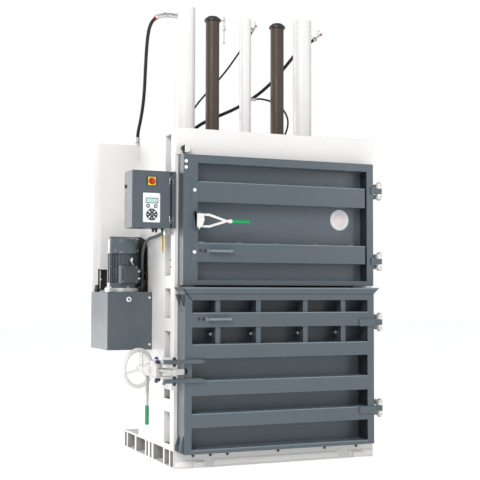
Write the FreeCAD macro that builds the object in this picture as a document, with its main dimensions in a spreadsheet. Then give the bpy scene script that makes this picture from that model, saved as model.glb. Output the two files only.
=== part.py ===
import FreeCAD, Part
import math
import os
import re

# Vertical recycling baler: a box-section press frame with two side-hung doors, a platen driven by
# three hydraulic cylinders from above, a power pack and a control cabinet on its left side.
# +X points to the doors' hinge side, the doors face -Y and +Z is up. The origin lies on the floor,
# on the centre line of the frame, in the plane that the closed doors shut against.

doc = FreeCAD.newDocument("recycling_baler")
sheet = doc.addObject("Spreadsheet::Sheet", "Sizes")

# Every size is in millimetres, and every angle in degrees.
SIZES = {
    # press frame
    "frame_width": 1500,
    "side_depth": 745,
    "side_thickness": 145,
    "section_wall": 8,
    "base_depth": 1104,
    "base_height": 129,
    "base_bottom_plate": 10,
    "base_top_plate": 14,
    "side_top": 2244,
    "column_web": 45,
    "slot_front": 75,
    "slot_width": 120,
    "slot_margin": 21,
    "rear_plate": 8,
    "rear_rib_depth": 140,
    "rear_rib_height": 100,
    "rear_rib_inset": 50,
    "head_wall": 16,
    "header_plate": 12,
    "header_flange": 60,
    "floor_plate": 12,
    "floor_clearance": 1,
    "strap_groove_width": 30,
    "strap_groove_depth": 8,
    "strap_inner": 175,
    "strap_outer": 467,
    "pad_width": 78,
    "pad_height": 38,
    "pad_depth": 14,
    "pad_inset": 137,
    # ram
    "ram_row": 566,
    "guide_spread": 262,
    "guide_radius": 50,
    "guide_wall": 10,
    "guide_fit": 0.05,
    "bush_wall": 10,
    "cap_overhang": 11,
    "cap_rim": 16,
    "cap_crown": 20,
    "barrel_spread": 473,
    "barrel_radius": 69.5,
    "barrel_bore": 55,
    "barrel_end": 28,
    "barrel_gland": 40,
    "barrel_flange": 22,
    "flange_thickness": 20,
    "rod_radius": 40,
    "piston_length": 40,
    "piston_headroom": 5,
    "middle_radius": 43,
    "middle_bore": 32,
    "middle_gland": 20,
    "middle_rod_radius": 22,
    "middle_piston": 30,
    "rod_hole_clearance": 6,
    "stroke_rod_spread": 171,
    "stroke_rod_hole": 12,
    "platen_height": 180,
    "platen_clearance": 6,
    "platen_wall": 16,
    # hinges
    "hinge_reach": 16,
    "hinge_drop": 187,
    "hinge_forward": 72,
    "hinge_pin_radius": 10,
    "hinge_fit": 0.05,
    "knuckle_radius": 21,
    "knuckle_height": 33,
    "ear_height": 37,
    "ear_gap": 1.5,
    "ear_thickness": 41,
    "bracket_length": 60,
    "pin_head_radius": 16,
    "pin_head": 8,
    "strap_plate": 12,
    "strap_reach": 86,
    "lower_strap_reach": 205,
    "strap_height": 50,
    # doors
    "panel": 10,
    "door_skin": 6,
    "lower_depth": 143,
    "lower_bottom": 112,
    "lower_top": 1150,
    "lower_stile": 51,
    "mullion_width": 35,
    "mullion_setback": 14,
    "lip_height": 43,
    "lip_flare": 29,
    "lip_sheet": 8,
    "upper_depth": 103,
    "upper_bottom": 1207,
    "upper_left_stile": 102,
    "upper_right_stile": 52,
    "upper_rail": 54,
    "beam_gap": 12,
    "beam_setback": 3,
    "beam_drop": 312,
    "beam_height": 137,
    # latch lever on the upper door
    "latch_forward": 32,
    "latch_height": 1630,
    "latch_hub_radius": 14,
    "latch_hub_height": 90,
    "latch_pin_radius": 6,
    "latch_fit": 0.08,
    "latch_plate": 12,
    "latch_arm": 12,
    "latch_fork_length": 194,
    "latch_fork_spread": 92,
    "latch_bar": 16,
    "latch_reach": 231,
    "grip_radius": 14,
    "grip_length": 124,
    "handle_radius": 10,
    "handle_length": 165,
    "handle_stand": 28,
    "sign_radius": 73,
    "sign_thickness": 3,
    # lock of the lower door
    "lock_angle": 22.9,
    "lock_y": 37,
    "lock_height": 651,
    "lock_arm_spread": 61,
    "lock_arm_height": 28,
    "lock_arm_thickness": 20,
    "lug_thickness": 14,
    "lock_body_half": 28,
    "lock_body_height": 88,
    "spindle_radius": 16,
    "spindle_fit": 0.08,
    "spindle_front": 251,
    "claw_thickness": 24,
    "claw_length": 60,
    "claw_width": 36,
    "nut_radius": 44,
    "nut_end": 80,
    "collar_radius": 24,
    "collar_end": 113,
    "end_nut_radius": 21,
    "end_nut": 12,
    "wheel_radius": 121,
    "rim_radius": 15,
    "wheel_plane": 185,
    "hub_radius": 26,
    "hub_end": 170,
    "spoke_radius": 9,
    "release_length": 240,
    "release_grip_length": 125,
    "release_grip_radius": 13,
    "release_thickness": 14,
    # power pack
    "tank_front": 460,
    "tank_back": 893,
    "tank_bottom": 759,
    "tank_top": 1160,
    "tank_wall": 4,
    "motor_y": 670,
    "flange_radius": 130,
    "flange_height": 28,
    "motor_radius": 96,
    "motor_fin": 12,
    "fin_thickness": 4,
    "motor_top": 1438,
    "shield_radius": 116,
    "shield_height": 36,
    "cowl_radius": 115,
    "cowl_top": 1545,
    "cowl_wall": 3,
    "rotor_radius": 60,
    "rotor_gap": 1,
    "shaft_radius": 14,
    "shaft_fit": 0.08,
    "fan_radius": 95,
    "pump_radius": 68,
    "pump_length": 190,
    "box_width": 125,
    "box_height": 126,
    "box_front": 150,
    "box_bottom": 1219,
    "gland_radius": 10,
    "gland_length": 22,
    "conduit_start": 75,
    "conduit_drop": 26,
    "conduit_radius": 10,
    "pressure_hose_radius": 10,
    "barrel_hose_radius": 12.5,
    "pilot_hose_radius": 7,
    "motor_cable_radius": 5,
    "cover_back": 1090,
    "cover_bottom": 770,
    "cover_wall": 3,
    "cover_round": 80,
    # control cabinet
    "cabinet_back": 150,
    "cabinet_bottom": 1581,
    "cabinet_top": 1956,
    "cabinet_sheet": 3,
    "cabinet_door_front": 20,
    "cabinet_door_back": 4.7,
    "cabinet_face": 5,
    "cabinet_rail": 25,
    "cabinet_hinge": 31.5,
    "cabinet_hinge_gap": 6.5,
    "switch_height": 1887,
    "switch_side": 54,
    "switch_plate": 4,
    "knob_radius": 17,
    "knob_length": 20,
    "panel_bottom": 1616,
    "panel_top": 1809,
    "panel_sheet": 3,
    "key_radius": 9,
    "key_spread": 26,
    "key_height": 1723,
    "pad_radius": 36,
    "pad_centre": 1667,
    "centre_radius": 10,
    "key_gap": 0.3,
    "key_travel_room": 1.8,
    "key_proud": 3,
    "interlock_width": 56,
    "interlock_height": 50,
    "interlock_depth": 42,
}

# Places that go with the frame's width: how far each lies beyond the frame's side, or inside it
# where the distance is below zero.
BESIDE = {
    "door_left": -24,
    "lower_right": -70,
    "upper_right": -50,
    "latch_x": -122,
    "lock_x": 108,
    "lock_arm_left": 124,
    "lock_arm_right": -171,
    "tank_left": 322,
    "motor_x": 150,
    "conduit_x": 34,
    "cover_left": 332,
    "cover_right": -110,
    "cabinet_left": 300,
    "switch_x": 166,
    "panel_left": 227,
    "panel_right": 109,
    "interlock_x": -60,
}
# Heights that go with the top of the side frames: how far each lies above it, or below it.
ABOVE = {
    "head_bottom": -164,
    "header_bottom": -169,
    "header_top": 10,
    "guide_top": 906,
    "barrel_top": 984,
    "middle_top": 947,
    "platen_bottom": -364,
    "cover_top": 3,
    "upper_top": -177,
}

# Openings through the base, from one side of the baler to the other: front and back edge of each.
BASE_BAYS = {
    "front_slot": (6, 65),
    "front_bay": (85, 181),
    "front_fork": (208, 417),
    "middle_front_slot": (455, 493),
    "middle_rear_slot": (533, 574),
    "rear_fork": (602, 809),
    "rear_bay": (843, 1018),
    "rear_slot": (1045, 1094),
}

# Tall slots in the outer face of each front column: lower and upper end of each.
COLUMN_SLOTS = {
    "top_slot": (1271, "=side_top - slot_margin"),
    "upper_slot": (989, 1184),
    "lower_slot": (451, 899),
    "bottom_slot": (153, 363),
}

# Recesses of the lower door between its rails, and of the upper door between its beams.
LOWER_RECESSES = {
    "lower_recess_a": (141, 281),
    "lower_recess_b": (373, 488),
    "lower_recess_c": (586, 728),
    "lower_window_row": (821, 931),
    "upper_window_row": (1027, 1108),
}
UPPER_BEAMS = {
    "upper_beam_a": (1359, 1486),
    "upper_beam_b": ("=upper_top - beam_drop", "=upper_top - beam_drop + beam_height"),
}
HINGE_HEIGHTS = {
    "lower_hinge_a": 348,
    "lower_hinge_b": 952,
    "upper_hinge_a": 1380,
    "upper_hinge_b": "=upper_top - hinge_drop",
}
REAR_RIBS = {"rib_a": 180, "rib_b": 640, "rib_c": 1100, "rib_d": 1560, "rib_e": 2020}
# Windows in the rear cover beside the motor: left and right edge beyond the frame's side, bottom and top.
COVER_WINDOWS = {
    "motor_window": (185, -45, 1336, 1565),
    "side_window": (266, 204, 1174, 1323),
}


def fill_sheet():
    """Write every size into the sheet under its own alias."""
    rows = dict(SIZES)
    for table in (BASE_BAYS, COLUMN_SLOTS, LOWER_RECESSES, UPPER_BEAMS):
        for name, (start, end) in table.items():
            rows[name + "_start"] = start
            rows[name + "_end"] = end
    for name, (left, right, bottom, top) in COVER_WINDOWS.items():
        rows[name + "_left_beyond"] = left
        rows[name + "_left"] = f"=frame_width / 2 + {name}_left_beyond"
        rows[name + "_right_beyond"] = right
        rows[name + "_right"] = f"=frame_width / 2 + {name}_right_beyond"
        rows[name + "_bottom"] = bottom
        rows[name + "_top"] = top
    rows.update(HINGE_HEIGHTS)
    rows.update(REAR_RIBS)
    for name, distance in BESIDE.items():
        rows[name + "_beyond"] = distance
        rows[name] = f"=frame_width / 2 + {name}_beyond"
    for name, distance in ABOVE.items():
        rows[name + "_above"] = distance
        rows[name] = f"=side_top + {name}_above"
    for row, (name, size) in enumerate(rows.items(), start=1):
        sheet.set(f"A{row}", name)
        sheet.set(f"B{row}", str(size))
        sheet.setAlias(f"B{row}", name)
    doc.recompute()
    return set(rows)


ALIASES = fill_sheet()


def linked(text):
    """The expression with each size's name turned into a reference to the sheet."""
    return re.sub(r"[a-z][a-z_]*", lambda m: "Sizes." + m[0] if m[0] in ALIASES else m[0], text)


def value(text):
    """The number that an expression of sizes stands for now."""
    filled = re.sub(
        r"[a-z][a-z_]*", lambda m: str(float(sheet.get(m[0]))) if m[0] in ALIASES else m[0], text
    )
    return float(FreeCAD.Units.Quantity(filled))


def bind(item, prop, text):
    item.setExpression(prop, linked(text))


def place(item, x, y, z):
    for axis, text in zip("xyz", (x, y, z)):
        bind(item, "Placement.Base." + axis, text)


def block(name, x, y, z):
    """A box between two expressions on each axis."""
    item = doc.addObject("Part::Box", name)
    for prop, (low, high) in zip(("Length", "Width", "Height"), (x, y, z)):
        bind(item, prop, f"({high}) - ({low})")
    place(item, x[0], y[0], z[0])
    return item


def post(name, x, y, low, high, radius):
    """A vertical cylinder between two heights."""
    item = doc.addObject("Part::Cylinder", name)
    bind(item, "Radius", radius)
    bind(item, "Height", f"({high}) - ({low})")
    place(item, x, y, low)
    return item


TURNS = {
    "x": FreeCAD.Rotation(FreeCAD.Vector(0, 1, 0), 90),
    "y": FreeCAD.Rotation(FreeCAD.Vector(1, 0, 0), -90),
}


def bar(name, axis, x, y, z, length, radius):
    """A cylinder that runs from x, y, z along +X or +Y."""
    item = doc.addObject("Part::Cylinder", name)
    item.Placement = FreeCAD.Placement(FreeCAD.Vector(), TURNS[axis])
    bind(item, "Radius", radius)
    bind(item, "Height", length)
    place(item, x, y, z)
    return item


def joined(name, items):
    item = doc.addObject("Part::MultiFuse", name)
    item.Shapes = list(items)
    item.Refine = True
    return item


def group(name, items):
    """Separate solids of one sub-part, kept apart."""
    item = doc.addObject("Part::Compound", name)
    item.Links = list(items)
    return item


def without(name, base, tools):
    """The base with every tool taken away."""
    tools = list(tools)
    tool = tools[0] if len(tools) == 1 else group(name + "_tools", tools)
    item = doc.addObject("Part::Cut", name)
    item.Base = base
    item.Tool = tool
    item.Refine = True
    return item


PLANES = {
    "XY": ("XY_Plane", 1),
    "XZ": ("XZ_Plane", -1),
    "YZ": ("YZ_Plane", 1),
}


def new_body(name):
    return doc.addObject("PartDesign::Body", name)


def new_sketch(body, name, plane, offset="0"):
    """A sketch on one of the body's own origin planes, at an offset along the plane's normal."""
    role, _ = PLANES[plane]
    sketch = body.newObject("Sketcher::SketchObject", name)
    origin = next(item for item in body.Origin.OriginFeatures if item.Role == role)
    sketch.AttachmentSupport = [(origin, "")]
    sketch.MapMode = "FlatFace"
    bind(sketch, "AttachmentOffset.Base.z", offset)
    return sketch


def pin_point(sketch, index, corner, x, y):
    """Hold a sketch point at x, y from the origin, by two bound dimensions."""
    import Sketcher

    for kind, text in (("DistanceX", x), ("DistanceY", y)):
        size = value(text)
        if abs(size) < 1e-9:
            on_axis = -2 if kind == "DistanceX" else -1
            sketch.addConstraint(Sketcher.Constraint("PointOnObject", index, corner, on_axis))
            continue
        number = sketch.addConstraint(Sketcher.Constraint(kind, -1, 1, index, corner, size))
        bind(sketch, f"Constraints[{number}]", text)


def draw_outline(sketch, points):
    """A closed outline of straight lines through points given as pairs of expressions."""
    import Sketcher

    ends = [FreeCAD.Vector(value(x), value(y), 0) for x, y in points]
    first = sketch.GeometryCount
    count = len(points)
    for number in range(count):
        line = Part.LineSegment(ends[number], ends[(number + 1) % count])
        sketch.addGeometry(line, False)
    for number in range(count):
        following = first + (number + 1) % count
        sketch.addConstraint(Sketcher.Constraint("Coincident", first + number, 2, following, 1))
    for number, (x, y) in enumerate(points):
        pin_point(sketch, first + number, 1, x, y)


def draw_circle(sketch, x, y, radius):
    import Sketcher

    centre = FreeCAD.Vector(value(x), value(y), 0)
    index = sketch.addGeometry(Part.Circle(centre, FreeCAD.Vector(0, 0, 1), value(radius)), False)
    pin_point(sketch, index, 3, x, y)
    number = sketch.addConstraint(Sketcher.Constraint("Radius", index, value(radius)))
    bind(sketch, f"Constraints[{number}]", radius)


def rectangle(x, y):
    return [(x[0], y[0]), (x[1], y[0]), (x[1], y[1]), (x[0], y[1])]


def pad(body, sketch, length, backwards=False):
    item = body.newObject("PartDesign::Pad", sketch.Name + "_pad")
    item.Profile = sketch
    bind(item, "Length", length)
    item.Reversed = backwards
    sketch.Visibility = False
    body.Tip = item
    return item


def pocket(body, sketch, length, backwards=False):
    item = body.newObject("PartDesign::Pocket", sketch.Name + "_pocket")
    item.Profile = sketch
    bind(item, "Length", length)
    item.Reversed = backwards
    sketch.Visibility = False
    body.Tip = item
    return item


def turned(body, sketch, axis="V_Axis"):
    item = body.newObject("PartDesign::Revolution", sketch.Name + "_turned")
    item.Profile = sketch
    item.ReferenceAxis = (sketch, [axis])
    item.Angle = 360
    sketch.Visibility = False
    body.Tip = item
    return item


def repeated(body, feature, count, axis_role="Z_Axis"):
    """The feature again at even steps round an axis of the body's origin."""
    item = body.newObject("PartDesign::PolarPattern", feature.Name + "_round")
    item.Originals = [feature]
    axis = next(entry for entry in body.Origin.OriginFeatures if entry.Role == axis_role)
    item.Axis = (axis, [""])
    item.Angle = 360
    item.Occurrences = count
    body.Tip = item
    return item


nodes = []


def finish(item, label):
    """Name a finished sub-part and keep it for export."""
    item.Label = label
    nodes.append(item)
    return item


LEFT = "-frame_width / 2"
RIGHT = "frame_width / 2"
INNER_LEFT = "-(frame_width / 2 - side_thickness)"
INNER_RIGHT = "frame_width / 2 - side_thickness"
HINGE_X = "frame_width / 2 + hinge_reach"
HINGE_Y = "-hinge_forward"
DOOR_CENTRE = "(lower_right - door_left) / 2"
STRAP_LINES = [
    f"{DOOR_CENTRE} - strap_outer",
    f"{DOOR_CENTRE} - strap_inner",
    f"{DOOR_CENTRE} + strap_inner",
    f"{DOOR_CENTRE} + strap_outer",
]


# ---------------------------------------------------------------- press frame

def base_frame():
    """Welded base with bays from side to side; two of the bays take lifting forks."""
    shell = block("base_outer", (LEFT, RIGHT), ("0", "base_depth"), ("0", "base_height"))
    left_pad_end = f"{LEFT} + pad_inset + pad_width"
    right_pad_end = f"{RIGHT} - pad_inset + 50"
    spots = {
        "left": (f"{LEFT} + pad_inset", left_pad_end),
        "right": (f"{right_pad_end} - pad_width", right_pad_end),
    }
    pads = [
        block(f"base_{side}_pad", spot, ("-pad_depth", "1"), ("4", "4 + pad_height"))
        for side, spot in spots.items()
    ]
    body = joined("base_body", [shell] + pads)
    bays = []
    for name in BASE_BAYS:
        bays.append(
            block(
                name,
                (f"{LEFT} - 1", f"{RIGHT} + 1"),
                (f"{name}_start", f"{name}_end"),
                ("base_bottom_plate", "base_height - base_top_plate"),
            )
        )
    finish(without("base_frame", body, bays), "base_frame")


def chamber_floor():
    """Floor plate of the press chamber, grooved from front to back for the binding straps."""
    body = new_body("chamber_floor")
    plate = new_sketch(body, "floor_outline", "XY", "base_height")
    wide = (f"{INNER_LEFT} + floor_clearance", f"{INNER_RIGHT} - floor_clearance")
    deep = ("floor_clearance", "side_depth - floor_clearance")
    draw_outline(plate, rectangle(wide, deep))
    pad(body, plate, "floor_plate")
    grooves = new_sketch(body, "floor_grooves", "XY", "base_height + floor_plate")
    for line in STRAP_LINES:
        edges = (f"{line} - strap_groove_width / 2", f"{line} + strap_groove_width / 2")
        draw_outline(grooves, rectangle(edges, ("0", "side_depth")))
    pocket(body, grooves, "strap_groove_depth")
    finish(body, "chamber_floor")


def side_frame(label, hand):
    """Box-section side of the frame with tall slots in its front column; hand is -1 or 1."""

    def across(outer, inner):
        """An x range from the outer face inwards, on either side."""
        low = f"frame_width / 2 - ({inner})"
        high = f"frame_width / 2 - ({outer})"
        return (low, high) if hand > 0 else (f"-({high})", f"-({low})")

    high = ("base_height", "side_top")
    inside = ("base_height + section_wall", "side_top - section_wall")
    outer = block(label + "_outer", across("0", "side_thickness"), ("0", "side_depth"), high)
    slot_back = "slot_front + slot_width"
    hollows = [
        block(
            label + "_rear_hollow",
            across("section_wall", "side_thickness - section_wall"),
            (f"{slot_back} + section_wall", "side_depth - section_wall"),
            inside,
        ),
        block(
            label + "_column_hollow",
            across("column_web + section_wall", "side_thickness - section_wall"),
            ("section_wall", slot_back),
            inside,
        ),
    ]
    for name in COLUMN_SLOTS:
        hollows.append(
            block(
                f"{label}_{name}",
                across("-1", "column_web"),
                ("slot_front", slot_back),
                (f"{name}_start", f"{name}_end"),
            )
        )
    finish(without(label, outer, hollows), label)


def rear_wall():
    """Rear plate of the chamber with hollow ribs across it and one up each side."""
    plate_back = "side_depth + rear_plate"
    rib_back = f"{plate_back} + rear_rib_depth"
    plate = block(
        "rear_plate_block", (LEFT, RIGHT), ("side_depth", plate_back), ("base_height", "side_top")
    )
    rib_left = f"{LEFT} + rear_rib_inset"
    rib_right = f"{RIGHT} - rear_rib_inset"
    ribs = []
    hollows = []
    for name in REAR_RIBS:
        rib = (rib_left, rib_right), (plate_back, rib_back), (name, f"{name} + rear_rib_height")
        ribs.append(block(name + "_block", *rib))
        hollows.append(
            block(
                name + "_hollow",
                (f"{rib_left} + section_wall", f"{rib_right} - section_wall"),
                (plate_back, f"{rib_back} - section_wall"),
                (f"{name} + section_wall", f"{name} + rear_rib_height - section_wall"),
            )
        )
    for side, (low, high) in {
        "left": (rib_left, f"{rib_left} + section_wall"),
        "right": (f"{rib_right} - section_wall", rib_right),
    }.items():
        stiffener = (low, high), (plate_back, rib_back), ("rib_a", "rib_e + rear_rib_height")
        ribs.append(block(f"rear_{side}_stiffener", *stiffener))
    body = joined("rear_body", [plate] + ribs)
    finish(without("rear_wall", body, hollows), "rear_wall")


def press_head():
    """Hollow crosshead between the side frames, bored for the rods and the guide bushes."""
    outer = block(
        "head_outer",
        (INNER_LEFT, INNER_RIGHT),
        ("header_plate", "side_depth"),
        ("head_bottom", "side_top"),
    )
    tools = [
        block(
            "head_hollow",
            (f"{INNER_LEFT} + head_wall", f"{INNER_RIGHT} - head_wall"),
            ("header_plate + head_wall", "side_depth - head_wall"),
            ("head_bottom + head_wall", "side_top - head_wall"),
        )
    ]
    bores = {
        "left_rod": ("-barrel_spread", "rod_radius + rod_hole_clearance"),
        "right_rod": ("barrel_spread", "rod_radius + rod_hole_clearance"),
        "middle_rod": ("0", "middle_rod_radius + rod_hole_clearance"),
        "left_guide": ("-guide_spread", "guide_radius + guide_fit + bush_wall"),
        "right_guide": ("guide_spread", "guide_radius + guide_fit + bush_wall"),
        "stroke_rod": ("-stroke_rod_spread", "stroke_rod_hole"),
    }
    for name, (x, radius) in bores.items():
        tools.append(post(f"head_{name}_bore", x, "ram_row", "head_bottom - 1", "side_top + 1", radius))
    finish(without("press_head", outer, tools), "press_head")


def front_header():
    """White plate across the top of the doorway, turned back over the crosshead."""
    face = block(
        "header_face", (LEFT, RIGHT), ("-header_plate", "0"), ("header_bottom", "header_top")
    )
    flange = block(
        "header_top_flange", (LEFT, RIGHT), ("-header_plate", "header_flange"), ("side_top", "header_top")
    )
    finish(joined("front_header", [face, flange]), "front_header")


# ---------------------------------------------------------------- ram

def ring(name, x, low, high, outer, inner):
    """A vertical tube on the row of rams."""
    skin = post(name + "_outer", x, "ram_row", low, high, outer)
    hole = post(name + "_inner", x, "ram_row", f"{low} - 1", f"{high} + 1", inner)
    return without(name + "_ring", skin, [hole])


def guide_bushes():
    bore = "guide_radius + guide_fit"
    rings = [
        ring(f"{side}_bush", x, "head_bottom", "side_top", f"{bore} + bush_wall", bore)
        for side, x in (("left", "-guide_spread"), ("right", "guide_spread"))
    ]
    finish(group("guide_bushes", rings), "guide_bushes")


def guide_tubes():
    tubes = [
        ring(
            f"{side}_guide",
            x,
            "platen_bottom + platen_height",
            "guide_top",
            "guide_radius",
            "guide_radius - guide_wall",
        )
        for side, x in (("left", "-guide_spread"), ("right", "guide_spread"))
    ]
    finish(group("guide_tubes", tubes), "guide_tubes")


def guide_caps():
    """Crowned caps on the guide tubes; their overhang stops the ram at the crosshead."""
    caps = []
    edge = "guide_radius + cap_overhang"
    for side, x in (("left", "-guide_spread"), ("right", "guide_spread")):
        rim = post(f"{side}_cap_rim", x, "ram_row", "guide_top", "guide_top + cap_rim", edge)
        crown = doc.addObject("Part::Cone", f"{side}_cap_crown")
        bind(crown, "Radius1", edge)
        bind(crown, "Radius2", f"({edge}) * 0.6")
        bind(crown, "Height", "cap_crown")
        place(crown, x, "ram_row", "guide_top + cap_rim")
        caps.append(joined(f"{side}_cap", [rim, crown]))
    finish(group("guide_caps", caps), "guide_caps")


def barrel(name, x, radius, bore, rod, gland, top, end):
    """A cylinder barrel with a foot flange, a gland for the rod and a closed top."""
    tube = post(name + "_tube", x, "ram_row", "side_top", top, radius)
    foot = post(
        name + "_foot", x, "ram_row", "side_top", "side_top + flange_thickness", f"{radius} + barrel_flange"
    )
    body = joined(name + "_body", [tube, foot])
    chamber = post(name + "_bore", x, "ram_row", f"side_top + {gland}", f"{top} - {end}", bore)
    rod_hole = post(
        name + "_rod_hole", x, "ram_row", "side_top - 1", f"side_top + {gland} + 1", f"{rod} + guide_fit"
    )
    return without(name + "_cylinder", body, [joined(name + "_hollow", [chamber, rod_hole])])


def cylinder_barrels():
    sizes = "barrel_radius", "barrel_bore", "rod_radius", "barrel_gland", "barrel_top", "barrel_end"
    barrels = [
        barrel(f"{side}_barrel", x, *sizes)
        for side, x in (("left", "-barrel_spread"), ("right", "barrel_spread"))
    ]
    finish(group("cylinder_barrels", barrels), "cylinder_barrels")


def middle_cylinder():
    sizes = "middle_radius", "middle_bore", "middle_rod_radius", "middle_gland", "middle_top"
    item = barrel("middle", "0", *sizes, "barrel_end")
    finish(item, "middle_cylinder")


def rod_and_piston(name, x, rod, bore, piston, cavity_top):
    """A rod that stands on the platen with its piston at the top of the barrel."""
    piston_top = f"{cavity_top} - piston_headroom"
    rod_item = post(
        name + "_rod_shaft", x, "ram_row", "platen_bottom + platen_height", f"{piston_top} - {piston}", rod
    )
    piston_item = post(
        name + "_piston", x, "ram_row", f"{piston_top} - {piston}", piston_top, f"{bore} - guide_fit"
    )
    return joined(name + "_ram", [rod_item, piston_item])


def piston_rods():
    sizes = "rod_radius", "barrel_bore", "piston_length", "barrel_top - barrel_end"
    rods = [
        rod_and_piston(side, x, *sizes)
        for side, x in (("left", "-barrel_spread"), ("right", "barrel_spread"))
    ]
    finish(group("piston_rods", rods), "piston_rods")


def middle_rod():
    sizes = "middle_rod_radius", "middle_bore", "middle_piston", "middle_top - barrel_end"
    finish(rod_and_piston("middle", "0", *sizes), "middle_rod")


def platen():
    """Hollow press plate, grooved underneath for the straps."""
    top = "platen_bottom + platen_height"
    outer = block(
        "platen_outer",
        (f"{INNER_LEFT} + platen_clearance", f"{INNER_RIGHT} - platen_clearance"),
        ("platen_clearance", "side_depth - platen_clearance"),
        ("platen_bottom", top),
    )
    edge = "platen_clearance + platen_wall"
    tools = [
        block(
            "platen_hollow",
            (f"{INNER_LEFT} + {edge}", f"{INNER_RIGHT} - ({edge})"),
            (edge, f"side_depth - ({edge})"),
            ("platen_bottom + platen_wall", f"{top} - platen_wall"),
        )
    ]
    for number, line in enumerate(STRAP_LINES):
        tools.append(
            block(
                f"platen_groove_{number}",
                (f"{line} - strap_groove_width / 2", f"{line} + strap_groove_width / 2"),
                ("0", "side_depth"),
                ("platen_bottom - 1", "platen_bottom + strap_groove_depth"),
            )
        )
    finish(without("platen", outer, tools), "platen")


# ---------------------------------------------------------------- hinges

def hinge_brackets():
    """Two fixed knuckles for each hinge, welded along the side of the frame."""
    knuckles = []
    for name in HINGE_HEIGHTS:
        gap = "ear_height / 2 + ear_gap"
        spans = {
            "top": (f"{name} + {gap}", f"{name} + {gap} + knuckle_height"),
            "low": (f"{name} - ({gap}) - knuckle_height", f"{name} - ({gap})"),
        }
        for end, (low, high) in spans.items():
            arm = block(
                f"{name}_{end}_arm",
                (RIGHT, f"{HINGE_X} + knuckle_radius"),
                (HINGE_Y, "bracket_length"),
                (low, high),
            )
            eye = post(f"{name}_{end}_eye", HINGE_X, HINGE_Y, low, high, "knuckle_radius")
            bore = post(
                f"{name}_{end}_bore",
                HINGE_X,
                HINGE_Y,
                f"{low} - 1",
                f"{high} + 1",
                "hinge_pin_radius + hinge_fit",
            )
            solid = joined(f"{name}_{end}_body", [arm, eye])
            knuckles.append(without(f"{name}_{end}_knuckle", solid, [bore]))
    finish(group("hinge_brackets", knuckles), "hinge_brackets")


def hinge_pins():
    """One headed pin with a nut for each hinge."""
    pins = []
    reach = "ear_height / 2 + ear_gap + knuckle_height"
    for name in HINGE_HEIGHTS:
        low = f"{name} - ({reach})"
        high = f"{name} + {reach}"
        shank = post(
            f"{name}_shank", HINGE_X, HINGE_Y, f"{low} - pin_head", f"{high} + pin_head", "hinge_pin_radius"
        )
        head = post(f"{name}_head", HINGE_X, HINGE_Y, high, f"{high} + pin_head", "pin_head_radius")
        nut = post(f"{name}_nut", HINGE_X, HINGE_Y, f"{low} - pin_head", low, "pin_head_radius")
        pins.append(joined(f"{name}_pin", [shank, head, nut]))
    finish(group("hinge_pins", pins), "hinge_pins")


def door_ears(names, edge, depth, reach):
    """Solids and bores of a door's moving knuckles, reaching out from its hinge edge."""
    solids = []
    bores = []
    for name in names:
        level = (f"{name} - ear_height / 2", f"{name} + ear_height / 2")
        across = (f"{HINGE_Y} - ear_thickness / 2", f"{HINGE_Y} + ear_thickness / 2")
        strap = (f"{name} - strap_height / 2", f"{name} + strap_height / 2")
        front = f"-({depth}) - strap_plate"
        solids.append(block(f"{name}_ear", (f"{edge} - 1", HINGE_X), across, level))
        solids.append(post(f"{name}_ring", HINGE_X, HINGE_Y, *level, "ear_thickness / 2"))
        solids.append(
            block(
                f"{name}_strap",
                (f"{HINGE_X} - {reach}", f"{edge} + strap_plate"),
                (front, f"-({depth})"),
                strap,
            )
        )
        solids.append(
            block(f"{name}_web", (edge, f"{edge} + strap_plate"), (front, across[1]), strap)
        )
        bores.append(
            post(
                f"{name}_ear_bore",
                HINGE_X,
                HINGE_Y,
                f"{level[0]} - 1",
                f"{level[1]} + 1",
                "hinge_pin_radius + hinge_fit",
            )
        )
    return solids, bores


# ---------------------------------------------------------------- lower door

def lower_door():
    """Welded door: hollow rails and stiles on a flat panel, strap channels and a flared lip."""
    front = "-lower_depth"
    inner_left = "-door_left + lower_stile"
    inner_right = "lower_right - lower_stile"
    slab = block(
        "lower_slab", ("-door_left", "lower_right"), (front, "0"), ("lower_bottom", "lower_top")
    )
    tools = []
    for name in LOWER_RECESSES:
        recess = (f"{front} - 1", "-panel"), (f"{name}_start", f"{name}_end")
        tools.append(block(f"{name}_recess", (inner_left, inner_right), *recess))
    edges = ["lower_bottom"]
    for name in LOWER_RECESSES:
        edges += [f"{name}_start", f"{name}_end"]
    edges.append("lower_top")
    for number in range(0, len(edges), 2):
        low, high = edges[number], edges[number + 1]
        tools.append(
            block(
                f"lower_rail_hollow_{number // 2}",
                (inner_left, inner_right),
                (f"{front} + door_skin", "-panel"),
                (f"{low} + door_skin", f"{high} - door_skin"),
            )
        )
    frame_part = without("lower_frame", slab, tools)
    mullions = []
    for row in ("lower_window_row", "upper_window_row"):
        for number, line in enumerate(STRAP_LINES):
            mullions.append(
                block(
                    f"{row}_mullion_{number}",
                    (f"{line} - mullion_width / 2", f"{line} + mullion_width / 2"),
                    (f"{front} + mullion_setback", "-panel / 2"),
                    (f"{row}_start - door_skin / 2", f"{row}_end + door_skin / 2"),
                )
            )
    ears, bores = door_ears(
        ["lower_hinge_a", "lower_hinge_b"], "lower_right", "lower_depth", "lower_strap_reach"
    )
    body = joined("lower_body", [frame_part, lip()] + mullions + ears)
    finish(without("lower_door", body, bores), "lower_door")


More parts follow.
